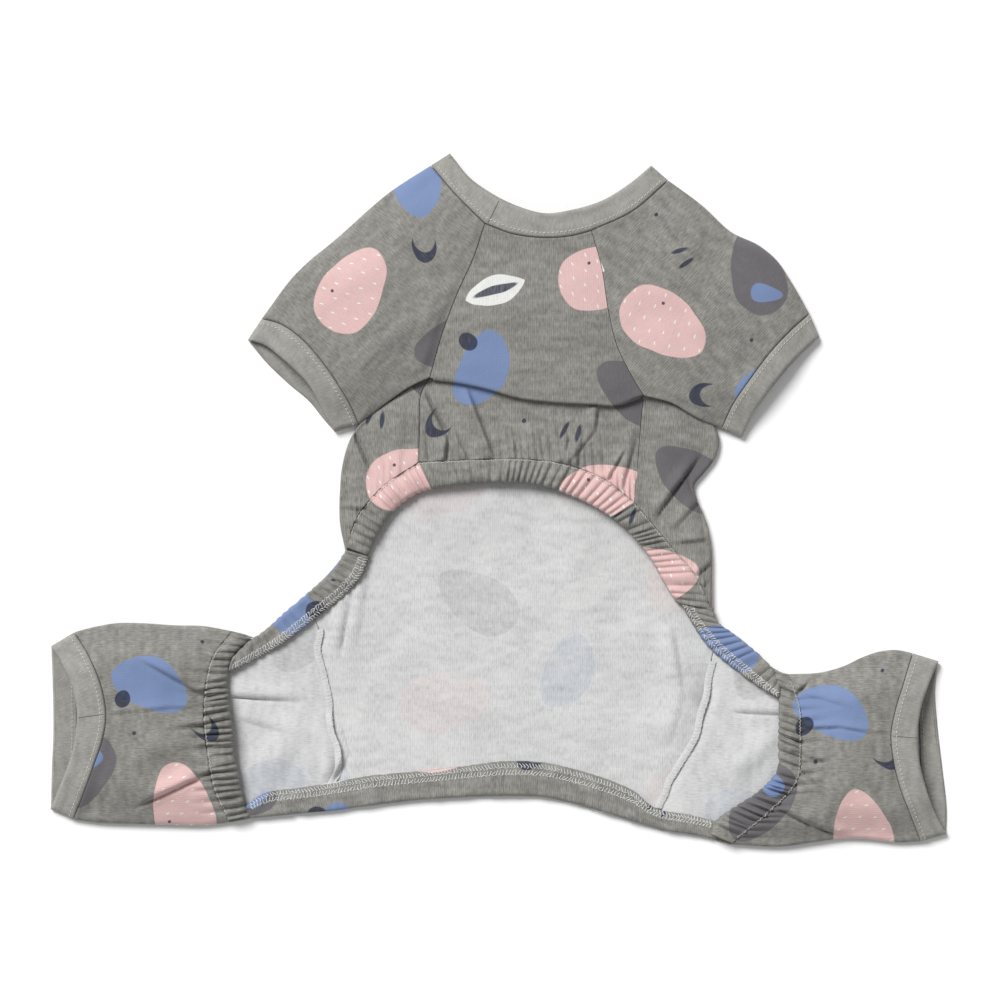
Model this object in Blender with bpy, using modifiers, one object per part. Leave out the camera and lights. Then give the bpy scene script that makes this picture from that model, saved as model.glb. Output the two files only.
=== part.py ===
"""Dog jumpsuit: a pair of knitted pet pyjamas with four legs, lying flat with its belly side up.

+X runs to the right as one looks down on it with the neck away from the viewer, +Y towards the
neck and +Z up. Left and right in the names are the viewer's. All cloth is an open surface, a
grid between named edges, which Solidify gives its wall. Two neighbours share the points of the
seam between them and keep half of SEAM_GAP each.
"""

import math
from collections import namedtuple

import bmesh
import bpy
import numpy as np

# Driving sizes, in metres.
CHEST_WIDTH = 0.185       # across the body, from side fold to side fold
BACK_LENGTH = 0.280       # along the middle, from the neck seam to the tail hem
NECK_WIDTH = 0.119        # across the flat neckline, from corner to corner
SLEEVE_LENGTH = 0.114     # along the shoulder edge, from the neck seam to the cuff seam
SLEEVE_OPENING = 0.072    # across the flat sleeve at its cuff seam
LEG_LENGTH = 0.090        # along the middle of a rear leg, from its mouth to the cuff seam
LEG_OPENING = 0.094       # across the flat rear leg at its cuff seam
BINDING_WIDTH = 0.012     # the ribbed band round the neck and the four cuffs
CASING_WIDTH = 0.0115     # the hem that holds the elastic round the belly opening
TUCK_DEPTH = 0.009        # how far the belly cloth runs back under the fold of the chest
BODY_HEIGHT = 0.0125      # top of the chest above the ground
SLEEVE_SWELL = 0.0020     # how much the top of a sleeve rises between its ends
LEG_HEIGHT = 0.0125       # top of a rear leg at its cuff
LEG_SWELL = 0.0040        # how much the top of a leg rises between its ends
MOUTH_HEIGHT = 0.0100     # top of a rear leg at its inner, gathered end
FOLD_RADIUS = 0.0026      # outer radius of a folded edge
CROWN_REACH = 0.022       # how far from a fold the cloth reaches its full height
CLOTH = 0.0012            # wall of the jersey
BINDING_WALL = 0.0020     # wall of a binding, two layers of rib
CASING_WALL = 0.0026      # wall of a casing, two layers of jersey over elastic
GATHER_PITCH = 0.0105     # from one gather of the elastic to the next
GATHER_DEPTH = 0.0008     # half the height of a gather
SEAM_GAP = 0.0003         # clearance between two pieces that are sewn together

Point = namedtuple("Point", "across along lift")
Bend = namedtuple("Bend", "along aside rise")
Limb = namedtuple("Limb", "inner outer reach turn cuff_turn front_bow back_bow rim_from rim_to")
Ridge = namedtuple("Ridge", "u_from v_from u_to v_to width rise")

# Across in shares of NECK_WIDTH, along in shares of BACK_LENGTH, lift in shares of BODY_HEIGHT.
NECK_POINTS = {
    "neck_left": Point(-0.416, 0.420, 0.30),
    "neck_right": Point(0.580, 0.393, 0.30),
    "raglan_left": Point(-0.189, 0.314, 1.00),
    "raglan_right": Point(0.256, 0.302, 1.00),
}

# Across in shares of CHEST_WIDTH, along in shares of BACK_LENGTH, lift in shares of BODY_HEIGHT.
BODY_POINTS = {
    "armpit_left": Point(-0.270, 0.041, 0.86),
    "armpit_right": Point(0.305, 0.010, 0.86),
    "side_left": Point(-0.497, -0.272, 0.21),
    "side_right": Point(0.492, -0.380, 0.21),
    "belly_left": Point(-0.300, -0.109, 0.62),
    "belly_right": Point(0.281, -0.180, 0.62),
    "hem_left": Point(-0.440, -0.284, 0.42),
    "hem_right": Point(0.400, -0.368, 0.42),
    "thigh_left": Point(-0.622, -0.355, 0.0),
    "thigh_right": Point(0.519, -0.402, 0.0),
    "hip_left": Point(-0.743, -0.423, 0.0),
    "hip_right": Point(0.635, -0.470, 0.0),
    "crotch_left": Point(-0.530, -0.731, 0.0),
    "crotch_right": Point(0.351, -0.766, 0.0),
    "tail_left": Point(-0.749, -0.745, 0.0),
    "tail_right": Point(0.478, -0.779, 0.0),
}

# How far out on the underarm line the side folds start, in shares of CHEST_WIDTH.
SIDE_FOLD_ACROSS = {"left": -0.462, "right": 0.497}

# Each edge runs between two points. Along and aside are shares of the straight line between
# them, aside to the left of the way it runs, and rise is a share of BODY_HEIGHT.
EDGES = {
    "neck_side_left": ("raglan_left", "neck_left", [Bend(0.50, -0.055, 0.20)]),
    "neck_side_right": ("raglan_right", "neck_right", [Bend(0.50, 0.045, 0.20)]),
    "neck_front": ("raglan_left", "raglan_right",
                   [Bend(0.25, -0.085, 0.02), Bend(0.55, -0.115, 0.03), Bend(0.80, -0.060, 0.02)]),
    "raglan_seam_left": ("armpit_left", "raglan_left",
                         [Bend(0.30, -0.024, 0.10), Bend(0.60, -0.030, 0.08)]),
    "raglan_seam_right": ("armpit_right", "raglan_right",
                          [Bend(0.25, 0.030, 0.10), Bend(0.48, 0.058, 0.10), Bend(0.75, 0.020, 0.05)]),
    "chest_fold": ("armpit_left", "armpit_right",
                   [Bend(0.20, -0.012, 0.12), Bend(0.42, -0.048, 0.16), Bend(0.62, -0.055, 0.16),
                    Bend(0.85, -0.052, 0.12)]),
    "side_fold_left": ("underarm_left", "side_left", [Bend(0.30, -0.062, 0.0), Bend(0.70, -0.055, 0.0)]),
    "side_fold_right": ("underarm_right", "side_right",
                        [Bend(0.17, -0.012, 0.0), Bend(0.33, -0.125, 0.0), Bend(0.46, -0.075, 0.0),
                         Bend(0.72, -0.012, 0.0)]),
    "side_seam_left": ("belly_top_left", "belly_left", [Bend(0.50, -0.020, 0.04)]),
    "side_seam_right": ("belly_top_right", "belly_right", [Bend(0.50, -0.012, 0.04)]),
    "casing_left": ("side_left", "belly_left", [Bend(0.25, 0.110, 0.12), Bend(0.60, 0.120, 0.06)]),
    "casing_front": ("belly_left", "belly_right",
                     [Bend(0.20, 0.065, 0.03), Bend(0.45, 0.115, 0.05), Bend(0.75, 0.110, 0.03)]),
    "casing_right": ("belly_right", "side_right", [Bend(0.40, 0.035, 0.06), Bend(0.75, 0.060, 0.12)]),
    "belly_hem": ("hem_left", "hem_right",
                  [Bend(0.05, 0.105, 0.12), Bend(0.12, 0.215, 0.22), Bend(0.22, 0.262, 0.30),
                   Bend(0.40, 0.300, 0.34), Bend(0.55, 0.300, 0.34), Bend(0.70, 0.270, 0.30),
                   Bend(0.85, 0.180, 0.22), Bend(0.95, 0.085, 0.12)]),
    "hip_fore_left": ("side_left", "thigh_left", [Bend(0.50, 0.045, 0.0)]),
    "hip_aft_left": ("thigh_left", "hip_left", [Bend(0.50, 0.020, 0.0)]),
    "hip_fore_right": ("side_right", "thigh_right", [Bend(0.50, -0.050, 0.0)]),
    "hip_aft_right": ("thigh_right", "hip_right", [Bend(0.50, 0.035, 0.0)]),
    "thigh_seam_left": ("thigh_left", "crotch_left",
                        [Bend(0.20, 0.064, 0.0), Bend(0.60, 0.046, 0.0), Bend(0.78, 0.076, 0.0)]),
    "thigh_seam_right": ("thigh_right", "crotch_right",
                         [Bend(0.30, 0.014, 0.0), Bend(0.60, 0.010, 0.0), Bend(0.85, -0.040, 0.0)]),
    "tail_hem_left": ("crotch_left", "tail_left", [Bend(0.50, -0.030, 0.0)]),
    "tail_hem": ("crotch_left", "crotch_right",
                 [Bend(0.20, 0.055, 0.0), Bend(0.48, 0.102, 0.0), Bend(0.75, 0.078, 0.0)]),
    "tail_hem_right": ("crotch_right", "tail_right", [Bend(0.50, 0.020, 0.0)]),
    "leg_top_left": ("leg_cuff_top_left", "hip_left", [Bend(0.20, 0.056, 0.0), Bend(0.60, 0.066, 0.0)]),
    "leg_low_left": ("leg_cuff_low_left", "tail_left", [Bend(0.30, -0.028, 0.0), Bend(0.72, -0.044, 0.0)]),
    "leg_top_right": ("leg_cuff_top_right", "hip_right",
                      [Bend(0.25, -0.025, 0.0), Bend(0.55, 0.070, 0.0), Bend(0.85, 0.085, 0.0)]),
    "leg_low_right": ("leg_cuff_low_right", "tail_right",
                      [Bend(0.35, 0.020, 0.0), Bend(0.60, -0.035, 0.0), Bend(0.85, -0.030, 0.0)]),
}

# The gathered inner end of a leg, as bends of the line between its two folds.
MOUTH_BENDS = {
    "left": [Bend(0.15, -0.125, 0.0), Bend(0.40, -0.120, 0.0), Bend(0.70, -0.080, 0.0)],
    "right": [Bend(0.15, 0.115, 0.0), Bend(0.35, 0.185, 0.0), Bend(0.54, 0.250, 0.0),
              Bend(0.78, 0.135, 0.0)],
}

# Turns are in degrees, anticlockwise from +X. A sleeve reaches from its neck corner and a leg
# from the middle of its mouth; the bows are shares of the cuff's opening, towards the body, and
# the rim turns say which way the binding stands off the two ends of the cuff.
SLEEVES = {
    "left": Limb("neck_left", "sleeve", 1.00, 222.2, -47.6, 0.115, 0.015, 233.6, 201.4),
    "right": Limb("neck_right", "sleeve", 0.85, -43.3, -127.6, -0.062, -0.055, -66.0, -17.7),
}
LEGS = {
    "left": Limb("hip_left", "leg", 1.00, 179.2, -90.6, 0.165, 0.012, 202.6, 166.5),
    "right": Limb("hip_right", "leg", 1.00, 1.1, -87.6, -0.140, -0.010, -19.8, 14.5),
}
NECK_RIM_TURNS = (31.0, 138.6)

# Long soft folds on the upper layer, from and to places on the piece's grid; width is a share
# of the limb's or body's opening and rise a share of FOLD_RADIUS.
RIDGES = {
    "sleeve_left": [Ridge(0.10, 0.35, 0.75, 0.62, 0.07, 0.50), Ridge(0.35, 0.15, 0.95, 0.30, 0.06, -0.35),
                    Ridge(0.05, 0.75, 0.60, 0.85, 0.06, 0.35)],
    "sleeve_right": [Ridge(0.05, 0.40, 0.80, 0.55, 0.07, 0.50), Ridge(0.30, 0.20, 0.90, 0.30, 0.06, -0.40),
                     Ridge(0.45, 0.70, 0.80, 0.95, 0.06, -0.45)],
    "leg_left": [Ridge(0.35, 0.90, 1.00, 0.62, 0.06, 0.70), Ridge(0.15, 0.46, 0.95, 0.44, 0.05, 0.40),
                 Ridge(0.55, 0.25, 1.00, 0.30, 0.05, 0.45), Ridge(0.50, 0.50, 1.00, 0.52, 0.04, -0.40)],
    "leg_right": [Ridge(0.10, 0.42, 0.70, 0.40, 0.05, 0.40), Ridge(0.40, 0.80, 0.95, 0.88, 0.06, 0.65),
                  Ridge(0.35, 0.25, 0.95, 0.28, 0.05, 0.45), Ridge(0.55, 0.55, 1.00, 0.50, 0.05, -0.40)],
    "chest": [Ridge(0.05, 0.10, 0.55, 0.25, 0.08, 0.35), Ridge(0.02, 0.92, 0.50, 0.80, 0.08, 0.35)],
    "belly": [Ridge(0.00, 0.05, 0.75, 0.20, 0.05, 0.55), Ridge(0.00, 0.47, 0.85, 0.70, 0.04, 0.50),
              Ridge(0.00, 0.86, 0.60, 0.84, 0.04, 0.55)],
}

ALONG_RAGLAN = 7          # grid points along a raglan seam
ALONG_NECK_SIDE = 5       # from the raglan seam to the neck corner
ACROSS_BODY = 17
ALONG_SLEEVE = 9
ALONG_LEG = 9
ACROSS_LEG = 11
ACROSS_WRAP = 10
ALONG_SIDE_FOLD = 7

PRINT_GREY = (0.262, 0.255, 0.235, 1.0)
RIB_GREY = (0.319, 0.314, 0.292, 1.0)
CASING_GREY = (0.254, 0.250, 0.238, 1.0)

spots = {}
edges = {}


def heading(turn):
    """Unit vector in the ground plane, turned by degrees or an array of them from +X."""
    angle = np.radians(turn)
    return np.stack([np.cos(angle), np.sin(angle), np.zeros_like(angle)], axis=-1)


def even(count):
    return np.linspace(0.0, 1.0, count)


def dense_at_start(count):
    return 1.0 - np.cos(even(count) * math.pi / 2)


def dense_at_end(count):
    return 1.0 - dense_at_start(count)[::-1]


def dense_at_both(count):
    return (1.0 - np.cos(even(count) * math.pi)) / 2


def run_of(curve):
    """Length along the curve at each of its points."""
    steps = np.linalg.norm(np.diff(curve, axis=0), axis=1)
    return np.concatenate([[0.0], np.cumsum(steps)])


def spaced(curve, shares):
    """The curve read again at the given shares of its length."""
    run = run_of(curve)
    return np.stack([np.interp(shares * run[-1], run, curve[:, axis]) for axis in range(3)], axis=-1)


def smooth_curve(points):
    """Cubic through the points; at each one the slope follows from the two beside it."""
    points = np.array(points)
    run = run_of(points)
    slopes = np.gradient(points, run, axis=0)
    at = np.linspace(0.0, run[-1], 160)
    span = np.clip(np.searchsorted(run, at, side="right") - 1, 0, len(run) - 2)
    width = (run[span + 1] - run[span])[:, None]
    share = (at[:, None] - run[span][:, None]) / width
    pull = share ** 2 * (3 - 2 * share)
    start_pull = share * (1 - share) ** 2 * width
    end_pull = share ** 2 * (share - 1) * width
    return (points[span] * (1 - pull) + points[span + 1] * pull
            + slopes[span] * start_pull + slopes[span + 1] * end_pull)


def bent_line(start, end, bends, lift_unit):
    """Smooth curve from start to end through the bends, which are shares of the way."""
    way = end - start
    aside = np.array([-way[1], way[0], 0.0])
    up = np.array([0.0, 0.0, lift_unit])
    inner = [start + way * bend.along + aside * bend.aside + up * bend.rise for bend in bends]
    return smooth_curve([start, *inner, end])


def bowed_line(start, end, bow):
    """Curve from start to end that stands off the straight line by half a sine wave."""
    way = end - start
    aside = np.array([-way[1], way[0], 0.0])
    share = even(120)[:, None]
    return start + way * share + aside * bow * np.sin(math.pi * share)


def quarter_round(distance, radius):
    """0 on a fold and 1 from radius inwards, as a quarter of a circle rises."""
    return np.sqrt(1.0 - (1.0 - np.clip(distance / radius, 0.0, 1.0)) ** 2)


def smooth_step(value):
    value = np.clip(value, 0.0, 1.0)
    return value * value * (3 - 2 * value)


def from_ends(curve):
    run = run_of(curve)
    return np.minimum(run, run[-1] - run)


def arched(curve, top):
    """The curve lifted over two folds at its ends, to the height top between them."""
    distance = from_ends(curve)
    share = run_of(curve) / run_of(curve)[-1]
    ends = curve[0, 2] * (1 - share) + curve[-1, 2] * share
    fold = quarter_round(distance, FOLD_RADIUS) * FOLD_RADIUS
    crown = smooth_step(distance / CROWN_REACH) * (top - ends - FOLD_RADIUS)
    lifted = curve.copy()
    lifted[:, 2] = ends + fold + crown
    return lifted


def laid(grid, start_lift, end_lift):
    """The grid laid on the ground, curling up to the lifts of its two sides within a fold's reach."""
    flat = grid.copy()
    from_start = np.linalg.norm((grid - grid[:, :1])[..., :2], axis=-1)
    from_end = np.linalg.norm((grid - grid[:, -1:])[..., :2], axis=-1)
    flat[..., 2] = 0.0
    for distance, lift in ((from_start, start_lift), (from_end, end_lift)):
        reach = np.maximum(lift, FOLD_RADIUS)[:, None]
        flat[..., 2] += lift[:, None] * (1.0 - quarter_round(distance, reach))
    return flat


def patch(side_from, side_to, end_from, end_to):
    """Coons surface: rows run along the two sides, columns along the two ends."""
    u = (run_of(side_from) / run_of(side_from)[-1] + run_of(side_to) / run_of(side_to)[-1]) / 2
    v = (run_of(end_from) / run_of(end_from)[-1] + run_of(end_to) / run_of(end_to)[-1]) / 2
    u = u[:, None, None]
    v = v[None, :, None]
    sides = side_from[:, None] * (1 - v) + side_to[:, None] * v
    ends = end_from[None] * (1 - u) + end_to[None] * u
    corners = (end_from[0] * (1 - u) * (1 - v) + end_from[-1] * (1 - u) * v
               + end_to[0] * u * (1 - v) + end_to[-1] * u * v)
    return sides + ends - corners


def ridged(grid, ridges, opening):
    """The grid with its long soft folds added as rounded ridges that fade at both ends."""
    rows, columns = grid.shape[:2]
    u = even(rows)[:, None]
    v = even(columns)[None, :]
    raised = grid.copy()
    for ridge in ridges:
        way = np.array([ridge.u_to - ridge.u_from, ridge.v_to - ridge.v_from])
        length = np.hypot(*way)
        along = ((u - ridge.u_from) * way[0] + (v - ridge.v_from) * way[1]) / length ** 2
        aside = ((u - ridge.u_from) * way[1] - (v - ridge.v_from) * way[0]) / length
        fade = smooth_step(along * 4 + 0.5) * smooth_step((1 - along) * 4 + 0.5)
        edge = smooth_step(np.minimum(v, 1 - v) * 6) * smooth_step(np.minimum(u, 1 - u) * 8)
        width = max(ridge.width, 0.6 / columns)
        raised[..., 2] += ridge.rise * FOLD_RADIUS * np.exp(-(aside / width) ** 2) * fade * edge
    return raised


def pulled_in(grid, ends=(), sides=(), keep=()):
    """The grid with its sewn borders half a seam gap back; keep names sides that stay joined."""
    grid = grid.copy()
    columns = slice(1 if "from" in keep else 0, -1 if "to" in keep else None)
    for name, first, second in (("from", 0, 1), ("to", -1, -2)):
        if name in ends:
            step = grid[second] - grid[first]
            step *= SEAM_GAP / 2 / np.linalg.norm(step, axis=-1, keepdims=True)
            grid[first, columns] += step[columns]
        if name in sides:
            step = grid[:, second] - grid[:, first]
            step *= SEAM_GAP / 2 / np.linalg.norm(step, axis=-1, keepdims=True)
            grid[:, first] += step
    return grid


def joined(*curves):
    """One curve from several that follow each other."""
    return np.concatenate([curves[0], *[curve[1:] for curve in curves[1:]]])


def material(name, colour, roughness):
    made = bpy.data.materials.new(name)
    made.use_nodes = True
    shader = made.node_tree.nodes["Principled BSDF"]
    shader.inputs["Base Color"].default_value = colour
    shader.inputs["Roughness"].default_value = roughness
    made.diffuse_color = colour
    return made


def winds_up(grid):
    """Whether the grid's faces point up when each runs first along its row."""
    along = np.diff(grid, axis=1)[:-1]
    down = np.diff(grid, axis=0)[:, :-1]
    return np.cross(along, down)[..., 2].sum() > 0


def sewn_piece(name, grids, wall, cloth, garment, collection):
    """One piece of cloth from grids, each with whether its outer face points up."""
    mesh_data = bmesh.new()
    for grid, faces_up in grids:
        rows, columns = grid.shape[:2]
        forward = winds_up(grid) == faces_up
        verts = [mesh_data.verts.new(point) for point in grid.reshape(-1, 3)]
        for row in range(rows - 1):
            for column in range(columns - 1):
                first = row * columns + column
                loop = [first, first + 1, first + columns + 1, first + columns]
                if not forward:
                    loop.reverse()
                mesh_data.faces.new([verts[index] for index in loop])
    bmesh.ops.remove_doubles(mesh_data, verts=mesh_data.verts, dist=0.00002)
    mesh = bpy.data.meshes.new(name)
    mesh_data.to_mesh(mesh)
    mesh_data.free()
    mesh.shade_smooth()
    mesh.materials.append(cloth)
    piece = bpy.data.objects.new(name, mesh)
    collection.objects.link(piece)
    piece.parent = garment
    shell = piece.modifiers.new("wall", "SOLIDIFY")
    shell.thickness = wall
    shell.offset = -1.0
    return piece


def place_points():
    """Fill spots with every named point of the garment."""
    for table, width in ((NECK_POINTS, NECK_WIDTH), (BODY_POINTS, CHEST_WIDTH)):
        for name, point in table.items():
            spots[name] = np.array([point.across * width, point.along * BACK_LENGTH,
                                    point.lift * BODY_HEIGHT])
    rest = np.array([0.0, 0.0, FOLD_RADIUS])
    on_ground = np.array([1.0, 1.0, 0.0])
    for side, limb in SLEEVES.items():
        top = spots[limb.inner] * on_ground + heading(limb.turn) * limb.reach * SLEEVE_LENGTH + rest
        low = top + heading(limb.cuff_turn) * SLEEVE_OPENING
        spots["sleeve_cuff_top_" + side] = top
        spots["sleeve_cuff_low_" + side] = low
        armpit = spots["armpit_" + side]
        out = (SIDE_FOLD_ACROSS[side] * CHEST_WIDTH - armpit[0]) / (low[0] - armpit[0])
        underarm = armpit + (low - armpit) * out
        underarm[2] = FOLD_RADIUS
        spots["underarm_" + side] = underarm
        drop = 2 * (first_tuck_radius() + second_tuck_radius())
        spots["belly_top_" + side] = armpit - np.array([0.0, 0.0, drop])
    for side, limb in LEGS.items():
        middle = (spots["hip_" + side] + spots["tail_" + side]) / 2
        cuff = middle + heading(limb.turn) * LEG_LENGTH + rest
        half = heading(limb.cuff_turn) * LEG_OPENING / 2
        spots["leg_cuff_top_" + side] = cuff - half
        spots["leg_cuff_low_" + side] = cuff + half


def first_tuck_radius():
    """Outer radius of the fold at the chest's lower edge, round two walls."""
    return CLOTH + SEAM_GAP


def second_tuck_radius():
    """Radius of the print side in the hidden fold, which closes on itself."""
    return SEAM_GAP * 2


def side_fold_rise(curve):
    """How much a line that starts on a side fold stands up from it, less and less further in."""
    run = run_of(curve)
    return FOLD_RADIUS * 0.8 * quarter_round(run, FOLD_RADIUS) * (1 - run / run[-1])


def place_edges():
    """Fill edges with every named edge as a fine curve."""
    for name, (start, end, bends) in EDGES.items():
        edges[name] = bent_line(spots[start], spots[end], bends, BODY_HEIGHT)
    for side in ("left", "right"):
        casing = edges["casing_" + side]
        if side == "right":
            casing = casing[::-1]
        casing[:, 2] += side_fold_rise(casing)
        edges["underarm_" + side] = bent_line(spots["armpit_" + side], spots["sleeve_cuff_low_" + side],
                                              [], BODY_HEIGHT)


def make_sleeve(side):
    """Sleeve tube: its inner end is a raglan seam and a stretch of the neckline."""
    limb = SLEEVES[side]
    raglan = spaced(edges["raglan_seam_" + side], dense_at_start(ALONG_RAGLAN))
    neckline = spaced(edges["neck_side_" + side], dense_at_end(ALONG_NECK_SIDE))
    inner = joined(raglan, neckline)
    across = dense_at_both(len(inner))
    underarm = spaced(edges["underarm_" + side], even(ALONG_SLEEVE))
    cuff_low = spots["sleeve_cuff_low_" + side]
    cuff_top = spots["sleeve_cuff_top_" + side]
    shoulder = spaced(bowed_line(spots[limb.inner], cuff_top, shoulder_bow(side)), even(ALONG_SLEEVE))
    front = spaced(bowed_line(cuff_low, cuff_top, -limb.front_bow), across)
    back = spaced(bowed_line(cuff_low, cuff_top, -limb.back_bow), across)
    top = patch(underarm, shoulder, inner, arched(front, BODY_HEIGHT * 0.86))
    rows = even(len(underarm))[:, None]
    columns = even(len(inner))[None]
    top[..., 2] += SLEEVE_SWELL * np.sin(math.pi * rows) * np.sin(math.pi * columns)
    top = ridged(top, RIDGES["sleeve_" + side], SLEEVE_OPENING)
    bottom = laid(patch(underarm, shoulder, inner, back), underarm[:, 2], shoulder[:, 2])
    return top, bottom


def shoulder_bow(side):
    """How far the shoulder edge bows off the straight line, outwards to the left of its way."""
    return -0.045 if side == "left" else 0.040


def cuff_band(top, bottom, turn_from, turn_to, row):
    """Binding ring beyond the last or first row of a tube: grids over and under the opening."""
    bands = []
    for layer in (top, bottom):
        seam = layer[row]
        share = run_of(seam) / run_of(seam)[-1]
        stand_off = heading(turn_from + (turn_to - turn_from) * share)
        rows = [seam + stand_off * (1.3 * SEAM_GAP + (BINDING_WIDTH - 1.3 * SEAM_GAP) * out)
                for out in even(3)]
        bands.append(np.array(rows))
    return bands


def make_leg(side):
    """Rear leg: a tube to the casing at its mouth, and a lower layer on to the thigh seam."""
    limb = LEGS[side]
    rails = {}
    for rail, cuff_end in (("top", "hip_"), ("low", "tail_")):
        fine = edges["leg_" + rail + "_" + side]
        length = run_of(fine)[-1]
        seam_at = 1.0 - CASING_WIDTH / length
        tube = spaced(fine, even(ALONG_LEG) * seam_at)
        tube[:, 2] = FOLD_RADIUS
        mouth = spaced(fine, np.array([seam_at, (1 + seam_at) / 2, 1.0]))
        mouth[:, 2] = np.array([1.0, 0.5, 0.0]) * FOLD_RADIUS
        rails[rail] = (tube, mouth)
    across = dense_at_both(ACROSS_LEG)
    cuff_top = spots["leg_cuff_top_" + side]
    cuff_low = spots["leg_cuff_low_" + side]
    front = arched(spaced(bowed_line(cuff_top, cuff_low, limb.front_bow), across), LEG_HEIGHT)
    back = spaced(bowed_line(cuff_top, cuff_low, limb.back_bow), across)
    seam_from = rails["top"][0][-1]
    seam_to = rails["low"][0][-1]
    seam = bent_line(seam_from, seam_to, MOUTH_BENDS[side], BODY_HEIGHT)
    seam = arched(spaced(seam, across), MOUTH_HEIGHT)
    top = patch(rails["top"][0], rails["low"][0], front, seam)
    rows = even(ALONG_LEG)[:, None]
    columns = even(ACROSS_LEG)[None]
    top[..., 2] += LEG_SWELL * np.sin(math.pi * rows) * np.sin(math.pi * columns)
    top = ridged(top, RIDGES["leg_" + side], LEG_OPENING)
    hip = spaced(edges["hip_aft_" + side][::-1], even(4))
    tail = spaced(edges["tail_hem_" + side][::-1], even(4))
    upper = joined(*rails["top"], hip)
    lower = joined(*rails["low"], tail)
    thigh = spaced(edges["thigh_seam_" + side], across)
    bottom = laid(patch(upper, lower, back, thigh), upper[:, 2], lower[:, 2])
    return top, bottom


def casing_band(seam, hem, wave_share, lines):
    """Gathered band between its stitching and its free edge, with waves across the elastic."""
    length = run_of((seam + hem) / 2)[-1]
    gathers = max(2, round(length / GATHER_PITCH))
    count = gathers * 4 + 1
    shares = even(count)
    start = spaced(seam, shares)
    finish = spaced(hem, shares)
    wave = np.cos(shares * gathers * 2 * math.pi)
    clear = CLOTH + SEAM_GAP + CASING_WALL + GATHER_DEPTH
    rows = []
    for out in even(lines):
        line = start * (1 - out) + finish * out
        line[:, 2] = np.maximum(line[:, 2], clear)
        line[:, 2] += GATHER_DEPTH * wave * (wave_share + (1 - wave_share) * out)
        rows.append(line)
    return np.array(rows)


def inward(curve, distance, to_left):
    """The curve shifted sideways in the ground plane."""
    slope = np.gradient(curve, axis=0)
    aside = np.stack([-slope[:, 1], slope[:, 0], np.zeros(len(curve))], axis=-1)
    aside /= np.linalg.norm(aside, axis=-1, keepdims=True)
    return curve + aside * np.reshape(distance, (-1, 1)) * (1 if to_left else -1)


def make_hem_band(outline, to_left, start_lift):
    """Turned-in casing that lies on the lower layer, along the outline; it may start on a fold."""
    outline = spaced(outline, 0.05 + 0.92 * even(60))
    outer = inward(outline, SEAM_GAP, to_left)
    inner = inward(outline, CASING_WIDTH, to_left)
    lift = CLOTH + SEAM_GAP + CASING_WALL + GATHER_DEPTH
    over_fold = FOLD_RADIUS * start_lift * (1 - smooth_step(run_of(outline) / CASING_WIDTH))
    for line in (outer, inner):
        line[:, 2] = lift + over_fold
    return casing_band(outer, inner, 1.0, 2)


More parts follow.
